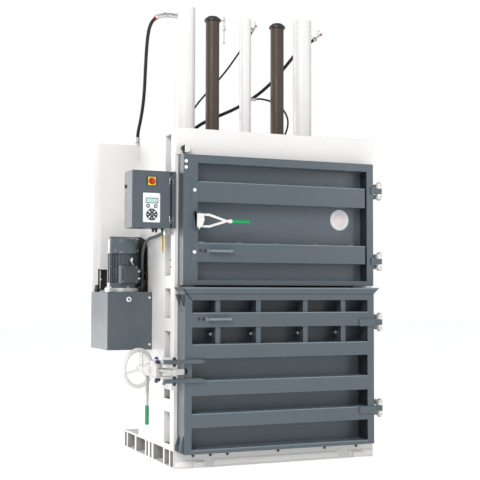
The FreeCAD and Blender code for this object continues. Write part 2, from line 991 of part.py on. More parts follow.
def lip_frustum(name, grow, low, high):
    """A block that widens upwards; grow shrinks it all round for the inner face."""
    item = doc.addObject("Part::Wedge", name)
    item.Placement = FreeCAD.Placement(FreeCAD.Vector(), FreeCAD.Rotation(FreeCAD.Vector(1, 0, 0), 90))
    flare_low = f"lip_flare * (({low}) - lower_top) / lip_height"
    flare_high = f"lip_flare * (({high}) - lower_top) / lip_height"
    for suffix, flare in (("", flare_low), ("2", flare_high)):
        low_x = f"-door_left - ({flare}) + {grow}"
        high_x = f"lower_right + ({flare}) - {grow}"
        low_z = "0"
        high_z = f"lower_depth + ({flare}) - {grow}"
        names = ("Xmin", "Xmax", "Zmin", "Zmax") if not suffix else ("X2min", "X2max", "Z2min", "Z2max")
        for prop, text in zip(names, (low_x, high_x, low_z, high_z)):
            bind(item, prop, text)
    bind(item, "Ymin", low)
    bind(item, "Ymax", high)
    return item


def lip():
    """Flared sheet lip round the front and ends of the door's top edge."""
    top = "lower_top + lip_height"
    outer = lip_frustum("lip_outer", "0", "lower_top - 4", top)
    inner = lip_frustum("lip_inner", "lip_sheet", "lower_top", f"{top} + 1")
    rear = block(
        "lip_rear_trim",
        ("-frame_width", "frame_width"),
        ("-lip_sheet", "frame_width"),
        ("lower_top", f"{top} + 2"),
    )
    return without("lip_sheet_part", outer, [joined("lip_space", [inner, rear])])


def door_handle(label, x, y, z):
    """Round bar handle on two legs, with its bar along X; y is the face that it stands on."""
    stand = f"{y} - handle_stand"
    bar_item = bar(label + "_bar", "x", x, stand, z, "handle_length", "handle_radius")
    legs = [
        bar(f"{label}_leg_{end}", "y", spot, stand, z, "handle_stand", "handle_radius")
        for end, spot in (
            ("left", f"{x} + handle_radius"),
            ("right", f"{x} + handle_length - handle_radius"),
        )
    ]
    finish(joined(label, [bar_item] + legs), label)


def strap_guides():
    """Bright bolts in the window row that turn the binding straps."""
    middle = "(lower_window_row_start + lower_window_row_end) / 2 + 8"
    bolts = []
    for number, line in enumerate(STRAP_LINES):
        x = f"{line} - mullion_width / 2 - 12"
        shank = bar(f"strap_bolt_{number}", "y", x, "-panel - 55", middle, "55", "6")
        head = bar(f"strap_bolt_head_{number}", "y", x, "-panel - 62", middle, "10", "10")
        bolts.append(joined(f"strap_guide_{number}", [shank, head]))
    finish(group("strap_guides", bolts), "strap_guides")


def lock_arms():
    """Two plates on the lower door that reach past the frame; the lock's claw grips behind them."""
    arms = []
    for name, side in (("upper", "+"), ("lower", "-")):
        middle = f"lock_height {side} lock_arm_spread"
        body = new_body(f"{name}_lock_arm")
        sketch = new_sketch(body, f"{name}_arm_outline", "XZ", "lower_depth")
        half = "lock_arm_height / 2"
        points = [
            ("-lock_arm_left", f"{middle} - {half}"),
            ("-lock_arm_right - 40", f"{middle} - {half}"),
            ("-lock_arm_right", f"{middle}"),
            ("-lock_arm_right - 40", f"{middle} + {half}"),
            ("-lock_arm_left", f"{middle} + {half}"),
        ]
        draw_outline(sketch, points)
        pad(body, sketch, "lock_arm_thickness")
        arms.append(body)
    finish(group("lock_arms", arms), "lock_arms")


# ---------------------------------------------------------------- upper door

def upper_door():
    """Welded door: hollow frame and two hollow beams on a flat panel, with the lever's lugs."""
    front = "-upper_depth"
    inner_left = "-door_left + upper_left_stile"
    inner_right = "upper_right - upper_right_stile"
    low = "upper_bottom + upper_rail * 0.6"
    high = "upper_top - upper_rail"
    slab = block(
        "upper_slab", ("-door_left", "upper_right"), (front, "0"), ("upper_bottom", "upper_top")
    )
    recess = block(
        "upper_recess", (inner_left, inner_right), (f"{front} - 1", "-panel"), (low, high)
    )
    deep = (f"{front} + door_skin", "-panel")
    full = ("upper_bottom + door_skin", "upper_top - door_skin")
    hollows = [
        block(
            "upper_left_hollow",
            ("-door_left + door_skin", f"{inner_left} - door_skin"),
            deep,
            full,
        ),
        block(
            "upper_right_hollow",
            (f"{inner_right} + door_skin", "upper_right - door_skin"),
            deep,
            full,
        ),
        block("upper_top_hollow", (inner_left, inner_right), deep, (f"{high} + door_skin", full[1])),
        block("upper_low_hollow", (inner_left, inner_right), deep, (full[0], f"{low} - door_skin")),
    ]
    frame_part = without("upper_frame", slab, [recess] + hollows)
    beams = []
    for name in UPPER_BEAMS:
        outer = block(
            f"{name}_outer",
            (f"{inner_left} - 1", f"{inner_right} - beam_gap"),
            (f"{front} + beam_setback", "-panel / 2"),
            (f"{name}_start", f"{name}_end"),
        )
        inside = block(
            f"{name}_inside",
            (f"{inner_left}", f"{inner_right} - beam_gap - door_skin"),
            (f"{front} + beam_setback + door_skin", "-panel"),
            (f"{name}_start + door_skin", f"{name}_end - door_skin"),
        )
        beams.append(without(f"{name}_beam", outer, [inside]))
    ears, bores = door_ears(
        ["upper_hinge_a", "upper_hinge_b"], "upper_right", "upper_depth", "strap_reach"
    )
    body = joined("upper_body", [frame_part] + beams + ears + latch_lugs())
    finish(without("upper_door", body, bores), "upper_door")


def latch_lugs():
    """Root plate, two lugs and the fixed pin that the latch lever turns on."""
    front = "-upper_depth"
    pivot_y = "-(upper_depth + latch_forward)"
    half = "latch_hub_height / 2 + 1"
    plate = block(
        "latch_root",
        ("-latch_x - 28", "-latch_x + 28"),
        (f"{front} - latch_plate", front),
        ("latch_height - 60", "latch_height + 60"),
    )
    lugs = []
    for name, low, high in (
        ("top", f"latch_height + {half}", f"latch_height + {half} + 13"),
        ("low", f"latch_height - ({half}) - 13", f"latch_height - ({half})"),
    ):
        lugs.append(
            block(
                f"latch_{name}_lug",
                ("-latch_x - latch_hub_radius", "-latch_x + latch_hub_radius"),
                (pivot_y, f"{front} - latch_plate"),
                (low, high),
            )
        )
        lugs.append(
            post(f"latch_{name}_eye", "-latch_x", pivot_y, low, high, "latch_hub_radius")
        )
    reach = f"{half} + 13"
    pin = post(
        "latch_pin",
        "-latch_x",
        pivot_y,
        f"latch_height - ({reach})",
        f"latch_height + {reach}",
        "latch_pin_radius",
    )
    return [plate, pin] + lugs


def latch_lever():
    """Forked white lever of the upper door, which turns on an upright pin."""
    pivot_y = "-(upper_depth + latch_forward)"
    half = "latch_hub_height / 2"
    body = new_body("latch_fork")
    sketch = new_sketch(body, "latch_outline", "XZ", "upper_depth + latch_forward - latch_arm / 2")
    root = "-latch_x"
    tip = "-latch_x + latch_fork_length"
    spread = "latch_fork_spread / 2"
    bar_half = "latch_bar / 2"
    points = [
        (root, f"latch_height + {half} - 14"),
        (root, f"latch_height + {half}"),
        (f"{root} + 17", f"latch_height + {half}"),
        (f"{root} + 73", f"latch_height + {spread}"),
        (tip, f"latch_height + {bar_half}"),
        (f"{root} + latch_reach", f"latch_height + {bar_half}"),
        (f"{root} + latch_reach", f"latch_height - {bar_half}"),
        (tip, f"latch_height - {bar_half}"),
        (f"{root} + 73", f"latch_height - {spread}"),
        (f"{root} + 17", f"latch_height - ({half})"),
        (root, f"latch_height - ({half})"),
        (root, f"latch_height - ({half}) + 14"),
        (f"{root} + 68", f"latch_height - {spread} + 15"),
        (f"{tip} - 26", "latch_height"),
        (f"{root} + 68", f"latch_height + {spread} - 15"),
    ]
    draw_outline(sketch, points)
    pad(body, sketch, "latch_arm")
    hub = post(
        "latch_hub",
        "-latch_x",
        pivot_y,
        f"latch_height - ({half})",
        f"latch_height + {half}",
        "latch_hub_radius",
    )
    bore = post(
        "latch_bore",
        "-latch_x",
        pivot_y,
        f"latch_height - ({half}) - 1",
        f"latch_height + {half} + 1",
        "latch_pin_radius + latch_fit",
    )
    lever = joined("latch_solid", [body, hub])
    finish(without("latch_lever", lever, [bore]), "latch_lever")


def latch_grip():
    """Round green grip, seated on the end of the lever."""
    item = bar(
        "latch_grip",
        "x",
        "-latch_x + latch_reach",
        "-(upper_depth + latch_forward)",
        "latch_height",
        "grip_length",
        "grip_radius",
    )
    finish(item, "latch_grip")


def round_sign():
    """Plain round sign on the upper door's panel."""
    body = new_body("round_sign")
    sketch = new_sketch(body, "sign_outline", "XZ", "panel")
    draw_circle(sketch, "479", "1671", "sign_radius")
    pad(body, sketch, "sign_thickness")
    finish(body, "round_sign")


# ---------------------------------------------------------------- lock of the lower door

def lock_place():
    """Placement of the lock's own axes: its Z runs along the spindle towards the handwheel."""
    angle = math.radians(value("lock_angle"))
    along = FreeCAD.Vector(-math.sin(angle), math.cos(angle), 0)
    side = FreeCAD.Vector(math.cos(angle), math.sin(angle), 0)
    turn = FreeCAD.Rotation(side, FreeCAD.Vector(0, 0, -1), along, "ZXY")
    centre = FreeCAD.Vector(-value("lock_x"), value("lock_y"), value("lock_height"))
    return FreeCAD.Placement(centre, turn)


def spindle_post(name, low, high, radius):
    """A cylinder on the lock's own axis."""
    item = doc.addObject("Part::Cylinder", name)
    bind(item, "Radius", radius)
    bind(item, "Height", f"({high}) - ({low})")
    place(item, "0", "0", low)
    return item


def lock_spindle():
    """Spindle with a one-sided claw, which points outwards when the door is free to open."""
    parts = [
        spindle_post("spindle_shank", "-spindle_front", "hub_end + key_gap + end_nut", "spindle_radius"),
        block(
            "spindle_claw",
            ("-claw_length", "claw_width / 2"),
            ("-claw_width / 2", "claw_width / 2"),
            ("-spindle_front", "-spindle_front + claw_thickness"),
        ),
        spindle_post("spindle_collar", RELEASE_END, "collar_end", "collar_radius"),
        spindle_post(
            "spindle_end_nut", "hub_end + key_gap", "hub_end + key_gap + end_nut", "end_nut_radius"
        ),
    ]
    item = joined("spindle_solid", parts)
    item.Placement = lock_place()
    finish(item, "lock_spindle")


def lock_housing():
    """Block between the bracket's lugs that carries the spindle, with a round nose behind."""
    half = "lock_body_half"
    core = block(
        "housing_core",
        (f"-{half}", half),
        ("-lock_body_height / 2", "lock_body_height / 2"),
        (f"-{half}", half),
    )
    nose = spindle_post("housing_nose", f"{half} - 1", "nut_end", "nut_radius")
    solid = joined("housing_solid", [core, nose])
    bore = spindle_post("housing_bore", f"-{half} - 1", "nut_end + 1", "spindle_radius + spindle_fit")
    item = without("housing_bored", solid, [bore])
    item.Placement = lock_place()
    finish(item, "lock_housing")


def handwheel():
    """Cast handwheel with a dished set of three spokes, free to turn between collar and nut."""
    hub_start = "collar_end + key_gap"
    hub = spindle_post("wheel_hub", hub_start, "hub_end", "hub_radius")
    rim = doc.addObject("Part::Torus", "wheel_rim")
    bind(rim, "Radius1", "wheel_radius")
    bind(rim, "Radius2", "rim_radius")
    place(rim, "0", "0", "wheel_plane")
    spokes = []
    start_height = value(f"({hub_start} + hub_end) / 2")
    rise = value("wheel_plane") - start_height
    for number in range(3):
        angle = math.radians(45 + 120 * number)
        out = FreeCAD.Vector(math.cos(angle), math.sin(angle), 0)
        start = FreeCAD.Vector(0, 0, start_height)
        end = out * value("wheel_radius") + FreeCAD.Vector(0, 0, value("wheel_plane"))
        spoke = doc.addObject("Part::Cylinder", f"wheel_spoke_{number}")
        bind(spoke, "Radius", "spoke_radius")
        spoke.Height = math.hypot(value("wheel_radius"), rise)
        spoke.Placement = FreeCAD.Placement(
            start, FreeCAD.Rotation(FreeCAD.Vector(0, 0, 1), end - start)
        )
        spokes.append(spoke)
    solid = joined("wheel_solid", [hub, rim] + spokes)
    bore = spindle_post(
        "wheel_bore", f"{hub_start} - 1", "hub_end + 1", "spindle_radius + spindle_fit"
    )
    item = without("wheel_bored", solid, [bore])
    item.Placement = lock_place()
    finish(item, "handwheel")


RELEASE_START = "nut_end + 4"
RELEASE_END = "nut_end + 4 + release_thickness"


def release_lever():
    """Ring fixed on the spindle with a tapered arm that hangs down; local +Y points down."""
    ring_item = spindle_post("release_ring", RELEASE_START, RELEASE_END, "nut_radius * 0.8")
    body = new_body("release_arm")
    sketch = new_sketch(body, "release_outline", "XY", RELEASE_START)
    end = "release_length"
    points = [("-16", "20"), ("16", "20"), ("8", end), ("-8", end)]
    draw_outline(sketch, points)
    pad(body, sketch, "release_thickness")
    solid = joined("release_solid", [ring_item, body])
    bore = spindle_post(
        "release_bore", f"{RELEASE_START} - 1", f"{RELEASE_END} + 1", "spindle_radius"
    )
    item = without("release_bored", solid, [bore])
    item.Placement = lock_place()
    finish(item, "release_lever")


def release_grip():
    """Green grip on the end of the release lever's arm."""
    item = doc.addObject("Part::Cylinder", "release_handle")
    bind(item, "Radius", "release_grip_radius")
    bind(item, "Height", "release_grip_length")
    middle = value("nut_end + 4 + release_thickness / 2")
    start = FreeCAD.Placement(FreeCAD.Vector(0, value("release_length"), middle), TURNS["y"])
    item.Placement = lock_place() * start
    finish(item, "release_grip")


def lock_bracket():
    """Wall plate with an upper and a lower lug that hold the lock's housing."""
    wall_face = f"{LEFT} - section_wall * 1.5"
    plate = block(
        "lock_wall_plate",
        (wall_face, LEFT),
        ("4", "205"),
        ("lock_height - 135", "lock_height + 75"),
    )
    solids = [plate]
    holes = []
    for name, side in (("upper", 1), ("lower", -1)):
        inner = "lock_height + lock_body_height / 2" if side > 0 else "lock_height - lock_body_height / 2"
        outer = f"{inner} + lug_thickness" if side > 0 else f"{inner} - lug_thickness"
        low, high = (inner, outer) if side > 0 else (outer, inner)
        solids.append(
            block(
                f"lock_{name}_lug",
                ("-lock_x - 32", f"{wall_face} + 1"),
                ("lock_y - 34", "lock_y + 40"),
                (low, high),
            )
        )
        holes.append(
            post(f"lock_{name}_hole", "-lock_x", "lock_y", f"{low} - 1", f"{high} + 1", "10")
        )
    finish(without("lock_bracket", joined("lock_bracket_body", solids), holes), "lock_bracket")


def lock_bolts():
    """The two bolts that hold the housing between the lugs, one from above and one from below."""
    bolts = []
    for name, side in (("upper", 1), ("lower", -1)):
        inner = "lock_height + lock_body_height / 2" if side > 0 else "lock_height - lock_body_height / 2"
        outer = f"{inner} + lug_thickness" if side > 0 else f"{inner} - lug_thickness"
        head = f"{outer} + 13" if side > 0 else f"{outer} - 13"
        shank_span = (inner, outer) if side > 0 else (outer, inner)
        head_span = (outer, head) if side > 0 else (head, outer)
        shank = post(f"lock_{name}_shank", "-lock_x", "lock_y", *shank_span, "10")
        top = post(f"lock_{name}_head", "-lock_x", "lock_y", *head_span, "17")
        bolts.append(joined(f"lock_{name}_bolt", [shank, top]))
    finish(group("lock_bolts", bolts), "lock_bolts")


# ---------------------------------------------------------------- power pack

def oil_tank():
    """Folded tank against the side frame, bored on top for the pump."""
    outer = block(
        "tank_outer", ("-tank_left", LEFT), ("tank_front", "tank_back"), ("tank_bottom", "tank_top")
    )
    hollow = block(
        "tank_hollow",
        ("-tank_left + tank_wall", f"{LEFT} - tank_wall"),
        ("tank_front + tank_wall", "tank_back - tank_wall"),
        ("tank_bottom + tank_wall", "tank_top - tank_wall"),
    )
    bore = post(
        "tank_bore", "-motor_x", "motor_y", "tank_top - tank_wall - 1", "tank_top + 1", "pump_radius + 4"
    )
    finish(without("oil_tank", outer, [joined("tank_space", [hollow, bore])]), "oil_tank")


def motor_post(name, low, high, radius):
    return post(name, "-motor_x", "motor_y", low, high, radius)


def pump():
    """Gear pump that hangs in the oil below its flange."""
    body = motor_post("pump_body", "tank_top - pump_length", "tank_top", "pump_radius")
    strainer = motor_post(
        "pump_strainer", "tank_top - pump_length - 90", "tank_top - pump_length + 1", "pump_radius * 0.6"
    )
    bore = motor_post("pump_bore", "tank_top - 60", "tank_top + 1", "shaft_radius + shaft_fit")
    finish(without("pump", joined("pump_solid", [body, strainer]), [bore]), "pump")


def pump_flange():
    """Round plate between the tank and the motor."""
    plate = motor_post("flange_plate", "tank_top", "tank_top + flange_height", "flange_radius")
    bore = motor_post(
        "flange_bore", "tank_top - 1", "tank_top + flange_height + 1", "shaft_radius + shaft_fit"
    )
    finish(without("pump_flange", plate, [bore]), "pump_flange")


def motor_body():
    """Finned motor housing, bored for its rotor."""
    foot = "tank_top + flange_height"
    body = new_body("motor_housing")
    core = new_sketch(body, "motor_core", "XY", foot)
    draw_circle(core, "0", "0", "motor_radius")
    pad(body, core, f"motor_top - ({foot})")
    fin = new_sketch(body, "motor_fin_outline", "XY", f"{foot} + shield_height - 2")
    half = "fin_thickness / 2"
    draw_outline(fin, rectangle(("motor_radius - 6", "motor_radius + motor_fin"), (f"-{half}", half)))
    fin_pad = pad(body, fin, f"motor_top - ({foot}) - shield_height")
    repeated(body, fin_pad, 30)
    place(body, "-motor_x", "motor_y", "0")
    shield = motor_post("motor_shield", foot, f"{foot} + shield_height", "shield_radius")
    solid = joined("motor_solid", [body, shield])
    room = "rotor_radius + rotor_gap"
    tools = [
        motor_post("motor_room", f"{foot} + shield_height", "motor_top - 30", room),
        motor_post("motor_shaft_bore", f"{foot} - 1", "motor_top + 1", "shaft_radius + shaft_fit"),
    ]
    finish(without("motor_body", solid, [joined("motor_space", tools)]), "motor_body")


def motor_rotor():
    """Rotor, shaft and fan, which turn as one."""
    foot = "tank_top + flange_height"
    shaft = motor_post("rotor_shaft", "tank_top - 55", "cowl_top - 25", "shaft_radius")
    core = motor_post("rotor_core", f"{foot} + shield_height + 4", "motor_top - 34", "rotor_radius")
    fan_low = "motor_top + 12"
    fan_hub = motor_post("fan_hub", fan_low, f"{fan_low} + 50", "shaft_radius + 12")
    fan_disc = motor_post("fan_disc", fan_low, f"{fan_low} + 5", "fan_radius")
    blades = []
    for number in range(7):
        blade = doc.addObject("Part::Box", f"fan_blade_{number}")
        bind(blade, "Length", "fan_radius - shaft_radius - 6")
        blade.Width = 4
        blade.Height = 44
        angle = 360 / 7 * number
        turn = FreeCAD.Rotation(FreeCAD.Vector(0, 0, 1), angle)
        centre = FreeCAD.Vector(-value("motor_x"), value("motor_y"), value(fan_low))
        start = FreeCAD.Vector(value("shaft_radius") + 4, -2, 0)
        blade.Placement = FreeCAD.Placement(centre + turn.multVec(start), turn)
        blades.append(blade)
    finish(joined("motor_rotor", [shaft, core, fan_hub, fan_disc] + blades), "motor_rotor")


def motor_cowl():
    """Pressed fan cowl with an air hole in its top."""
    body = new_body("cowl_shell")
    sketch = new_sketch(body, "cowl_section", "XZ")
    bottom = "motor_top - 6"
    edge = "cowl_top - 12"
    outer = "cowl_radius"
    inner = "cowl_radius - cowl_wall"
    points = [
        (inner, bottom),
        (outer, bottom),
        (outer, edge),
        (f"{outer} - 12", "cowl_top"),
        ("fan_radius * 0.45", "cowl_top"),
        ("fan_radius * 0.45", "cowl_top - cowl_wall"),
        (f"{inner} - 11", "cowl_top - cowl_wall"),
        (inner, f"{edge} - 2"),
    ]
    draw_outline(sketch, points)
    turned(body, sketch)
    place(body, "-motor_x", "motor_y", "0")
    ring_item = motor_post("cowl_seat", bottom, "motor_top", inner)
    ring_bore = motor_post(
        "cowl_seat_bore", f"{bottom} - 1", "motor_top + 1", "motor_radius + motor_fin + key_gap"
    )
    seat = without("cowl_seat_ring", ring_item, [ring_bore])
    finish(joined("motor_cowl_part", [body, seat]), "motor_cowl")


def terminal_box():
    """Connection box shaped to the fins at its back."""
    box = block(
        "terminal_outer",
        ("-motor_x - box_width / 2", "-motor_x + box_width / 2"),
        ("motor_y - box_front", "motor_y - motor_radius + 10"),
        ("box_bottom", "box_bottom + box_height"),
    )
    saddle = motor_post(
        "terminal_saddle",
        "box_bottom - 1",
        "box_bottom + box_height + 1",
        "motor_radius + motor_fin + key_gap",
    )
    shield_room = motor_post(
        "terminal_shield_room",
        "box_bottom - 1",
        "tank_top + flange_height + shield_height",
        "shield_radius + key_gap",
    )
    finish(without("terminal_box", box, [joined("terminal_space", [saddle, shield_room])]), "terminal_box")


CABLE_EXITS = {"upper": 86, "lower": 36}


def cable_glands():
    """Two glands beside the connection box, and the conduit's elbow below the cabinet."""
    glands = []
    for name, rise in CABLE_EXITS.items():
        start = "-motor_x + box_width / 2"
        y = "motor_y - box_front + 25"
        z = f"box_bottom + {rise}"
        nut = bar(f"{name}_gland_nut", "x", start, y, z, "gland_length * 0.5", "gland_radius + 3")
        sleeve = bar(f"{name}_gland_sleeve", "x", start, y, z, "gland_length", "gland_radius")
        glands.append(joined(f"{name}_gland", [nut, sleeve]))
    elbow = block(
        "conduit_elbow",
        ("-conduit_x - 17", "-conduit_x + 17"),
        ("conduit_start - 34", "conduit_start"),
        ("cabinet_bottom - conduit_drop - 16", "cabinet_bottom"),
    )
    glands.append(elbow)
    finish(group("gland_set", glands), "cable_glands")


def tube_along(label, routes, size):
    """Straight runs joined by tangent arcs, each arc as large as its two runs allow."""
    radius = value(size)
    solids = []
    for route in routes:
        points = [FreeCAD.Vector(*point) for point in route]
        edges = []
        start = points[0]
        radii = []
        for before, corner, after in zip(points, points[1:], points[2:]):
            back = (before - corner).normalize()
            ahead = (after - corner).normalize()
            turn = math.pi - back.getAngle(ahead)
            shorter = min((before - corner).Length, (after - corner).Length)
            cut = 0.45 * shorter
            bend = cut / math.tan(turn / 2)
            radii.append(bend)
            enter = corner + back * cut
            leave = corner + ahead * cut
            halfway = (back + ahead).normalize()
            middle = corner + halfway * (bend / math.cos(turn / 2) - bend)
            edges.append(Part.LineSegment(start, enter).toShape())
            edges.append(Part.Arc(enter, middle, leave).toShape())
            start = leave
        edges.append(Part.LineSegment(start, points[-1]).toShape())
        length = sum(edge.Length for edge in edges)
        path = Part.Wire(edges)
        ahead = points[1] - points[0]
        section = Part.Wire([Part.Circle(points[0], ahead, radius).toShape()])
        solid = path.makePipeShell([section], True, False)
        expected = math.pi * radius**2 * length
        if abs(solid.Volume / expected - 1) > 0.01:
            raise RuntimeError(f"{label}: the tube's volume is not its section times its length")
        print(label, "length", round(length), "radius", radius, "bends", [round(bend) for bend in radii])
        solids.append(solid)
    item = doc.addObject("Part::Feature", label)
    item.Shape = solids[0] if len(solids) == 1 else Part.makeCompound(solids)
    finish(item, label)


def cord_routes():
    """Routes of the cables and hoses, with the points chosen by hand, from fitting to fitting."""
    gland_x = value("-motor_x + box_width / 2 + gland_length")
    gland_y = value("motor_y - box_front + 25")
    tank_top = value("tank_top")
    upper = value("box_bottom") + CABLE_EXITS["upper"]
    lower = value("box_bottom") + CABLE_EXITS["lower"]
    cables = [
        [
            (gland_x, gland_y, upper),
            (gland_x + 26, gland_y, upper),
            (gland_x + 49, gland_y + 2, upper - 14),
            (gland_x + 58, gland_y + 8, upper - 42),
            (gland_x + 54, gland_y + 17, upper - 80),
            (gland_x + 46, gland_y + 24, upper - 112),
            (gland_x + 46, gland_y + 24, tank_top),
        ],
        [
            (gland_x, gland_y, lower),
            (gland_x + 20, gland_y, lower),
            (gland_x + 36, gland_y + 2, lower - 12),
            (gland_x + 40, gland_y + 7, lower - 34),
            (gland_x + 32, gland_y + 15, lower - 62),
            (gland_x + 26, gland_y + 20, tank_top + 16),
            (gland_x + 26, gland_y + 20, tank_top),
        ],
    ]
    level = value("cabinet_bottom - conduit_drop")
    start = value("conduit_start")
    across = -value("conduit_x")
    conduit = [
        (across, start, level),
        (across, start + 90, level),
        (across + 4, start + 220, level - 16),
        (across + 6, start + 360, level - 20),
        (across + 6, start + 452, level - 40),
        (across + 5, start + 508, level - 92),
        (across + 4, start + 524, level - 170),
        (across + 3, start + 518, level - 250),
        (across + 3, start + 514, level - 322),
        (across + 3, start + 514, tank_top),
    ]
    cover_front = value("tank_back")
    pressure_line = [
        (-772, cover_front, tank_top + 252),
        (-772, cover_front - 44, tank_top + 252),
        (-772, cover_front - 88, tank_top + 226),
        (-772, cover_front - 110, tank_top + 166),
        (-772, cover_front - 108, tank_top + 96),
        (-772, cover_front - 104, tank_top + 44),
        (-772, cover_front - 104, tank_top),
    ]
    row = value("ram_row")
    left_line = [
        (-604, row, 3162),
        (-658, row, 3158),
        (-708, row + 8, 3132),
        (-738, row + 28, 3082),
        (-744, row + 66, 2992),
        (-730, row + 144, 2824),
        (-708, row + 240, 2616),
        (-704, row + 320, 2460),
        (-712, row + 388, 2344),
        (-712, row + 388, value("cover_top") + 20),
    ]
    right_line = [
        (600, row + 20, 3112),
        (556, row + 68, 3082),
        (484, row + 116, 3016),
        (376, row + 140, 2872),
        (220, row + 138, 2702),
        (10, row + 136, 2556),
        (-194, row + 134, 2462),
        (-324, row + 136, 2396),
        (-388, row + 142, 2326),
        (-388, row + 142, value("side_top") + 20),
    ]
    middle_line = [
        (70, row + 12, 3128),
        (66, row + 58, 3096),
        (44, row + 106, 3036),
        (-10, row + 124, 2952),
        (-110, row + 126, 2810),
        (-218, row + 126, 2686),
        (-326, row + 130, 2566),
        (-402, row + 136, 2446),
        (-440, row + 144, 2336),
        (-440, row + 144, value("side_top") + 20),
    ]
    loop_line = [
        (80, row + 10, 2600),
        (126, row + 50, 2616),
        (192, row + 84, 2622),
        (276, row + 86, 2606),
        (356, row + 84, 2558),
        (398, row + 84, 2482),
        (388, row + 86, 2396),
        (344, row + 90, 2320),
        (344, row + 90, value("side_top") + 20),
    ]
    tube_along("motor_cables", cables, "motor_cable_radius")
    tube_along("supply_conduit", [conduit], "conduit_radius")
    tube_along("pressure_hose", [pressure_line], "pressure_hose_radius")
    tube_along("left_hose", [left_line], "barrel_hose_radius")
    tube_along("right_hose", [right_line], "barrel_hose_radius")
    tube_along("middle_hose", [middle_line], "pilot_hose_radius")
    tube_along("loop_hose", [loop_line], "pilot_hose_radius")
    fittings(left_line, right_line, middle_line, loop_line)


def fittings(left_line, right_line, middle_line, loop_line):
    """Swaged hose ends: from each barrel to its hose, and a stub where each hose goes in."""
    row = value("ram_row")
    edge = value("barrel_spread") + value("barrel_radius")
    middle_edge = value("middle_radius")
    ends = {
        "left": ((-edge + 1, row, 3162), left_line, 17),
        "right": ((edge - 1, row, 3112), right_line, 17),
        "middle": ((middle_edge - 1, row, 3128), middle_line, 11),
        "loop": ((middle_edge - 1, row, 2598), loop_line, 11),
    }
    solids = []
    for (start, line, radius) in ends.values():
        first = FreeCAD.Vector(*line[0])
        root = FreeCAD.Vector(*start)
        along = FreeCAD.Vector(*line[1]) - first
        along.normalize()
        body_length = (first - root).Length
        stub = Part.makeCylinder(radius, body_length, root, first - root)
        knee = Part.makeSphere(radius * 1.15, first - along * 0.5)
        half = Part.makeBox(100, 100, 100, FreeCAD.Vector(-50, -50, 0))
        half.Placement = FreeCAD.Placement(first, FreeCAD.Rotation(FreeCAD.Vector(0, 0, 1), along))
        solids.append(stub.fuse(knee).cut(half))
    for line, radius in ((left_line, 18), (right_line, 18), (middle_line, 12), (loop_line, 12)):
        last = FreeCAD.Vector(*line[-1])
        foot = value("cover_top") if line is left_line else value("side_top")
        base = FreeCAD.Vector(last.x, last.y, foot)
        solids.append(Part.makeCylinder(radius, last.z - foot, base))
    barrels = [
        Part.makeCylinder(value("barrel_radius"), 1200, FreeCAD.Vector(side, row, 2200))
        for side in (-value("barrel_spread"), value("barrel_spread"))
    ]
    barrels.append(Part.makeCylinder(middle_edge, 1200, FreeCAD.Vector(0, row, 2200)))
    solids = [solid.cut(Part.makeCompound(barrels)) for solid in solids]
    item = doc.addObject("Part::Feature", "hose_fittings")
    item.Shape = Part.makeCompound([solid.Solids[0] for solid in solids])
    finish(item, "hose_fittings")


def rear_cover():
    """Tall folded cover behind the tank, open underneath, with two windows beside the motor."""
    body = new_body("cover_shell")
    x = ("-cover_left", "-cover_right")
    y = ("tank_back", "cover_back")
    outline = new_sketch(body, "cover_outline", "XY", "cover_bottom")
    corner = "cover_round"
    cut = "cover_round * 0.3"
    points = [
        (x[0], f"{y[0]} + {corner}"),
        (f"{x[0]} + {cut}", f"{y[0]} + {cut}"),
        (f"{x[0]} + {corner}", y[0]),
        (x[1], y[0]),
        (x[1], y[1]),
        (x[0], y[1]),
    ]
    draw_outline(outline, points)
    pad(body, outline, "cover_top - cover_bottom")
    inside = new_sketch(body, "cover_inside", "XY", "cover_bottom")
    wall = "cover_wall"
    inner_points = [
        (f"{x[0]} + {wall}", f"{y[0]} + {corner} + {wall}"),
        (f"{x[0]} + {cut} + {wall}", f"{y[0]} + {cut} + {wall}"),
        (f"{x[0]} + {corner} + {wall}", f"{y[0]} + {wall}"),
        (f"{x[1]} - {wall}", f"{y[0]} + {wall}"),
        (f"{x[1]} - {wall}", f"{y[1]} - {wall}"),
        (f"{x[0]} + {wall}", f"{y[1]} - {wall}"),
    ]
    draw_outline(inside, inner_points)
    pocket(body, inside, "cover_top - cover_bottom - cover_wall", backwards=True)
    windows = []
    for name in COVER_WINDOWS:
        windows.append(
            block(
                name,
                (f"-{name}_left", f"-{name}_right"),
                ("tank_back - 1", "tank_back + cover_wall + 1"),
                (f"{name}_bottom", f"{name}_top"),
            )
        )
    finish(without("rear_cover_part", body, windows), "rear_cover")


# ---------------------------------------------------------------- control cabinet

CABINET_DOOR_RIGHT = f"{LEFT} - cabinet_hinge - cabinet_hinge_gap"


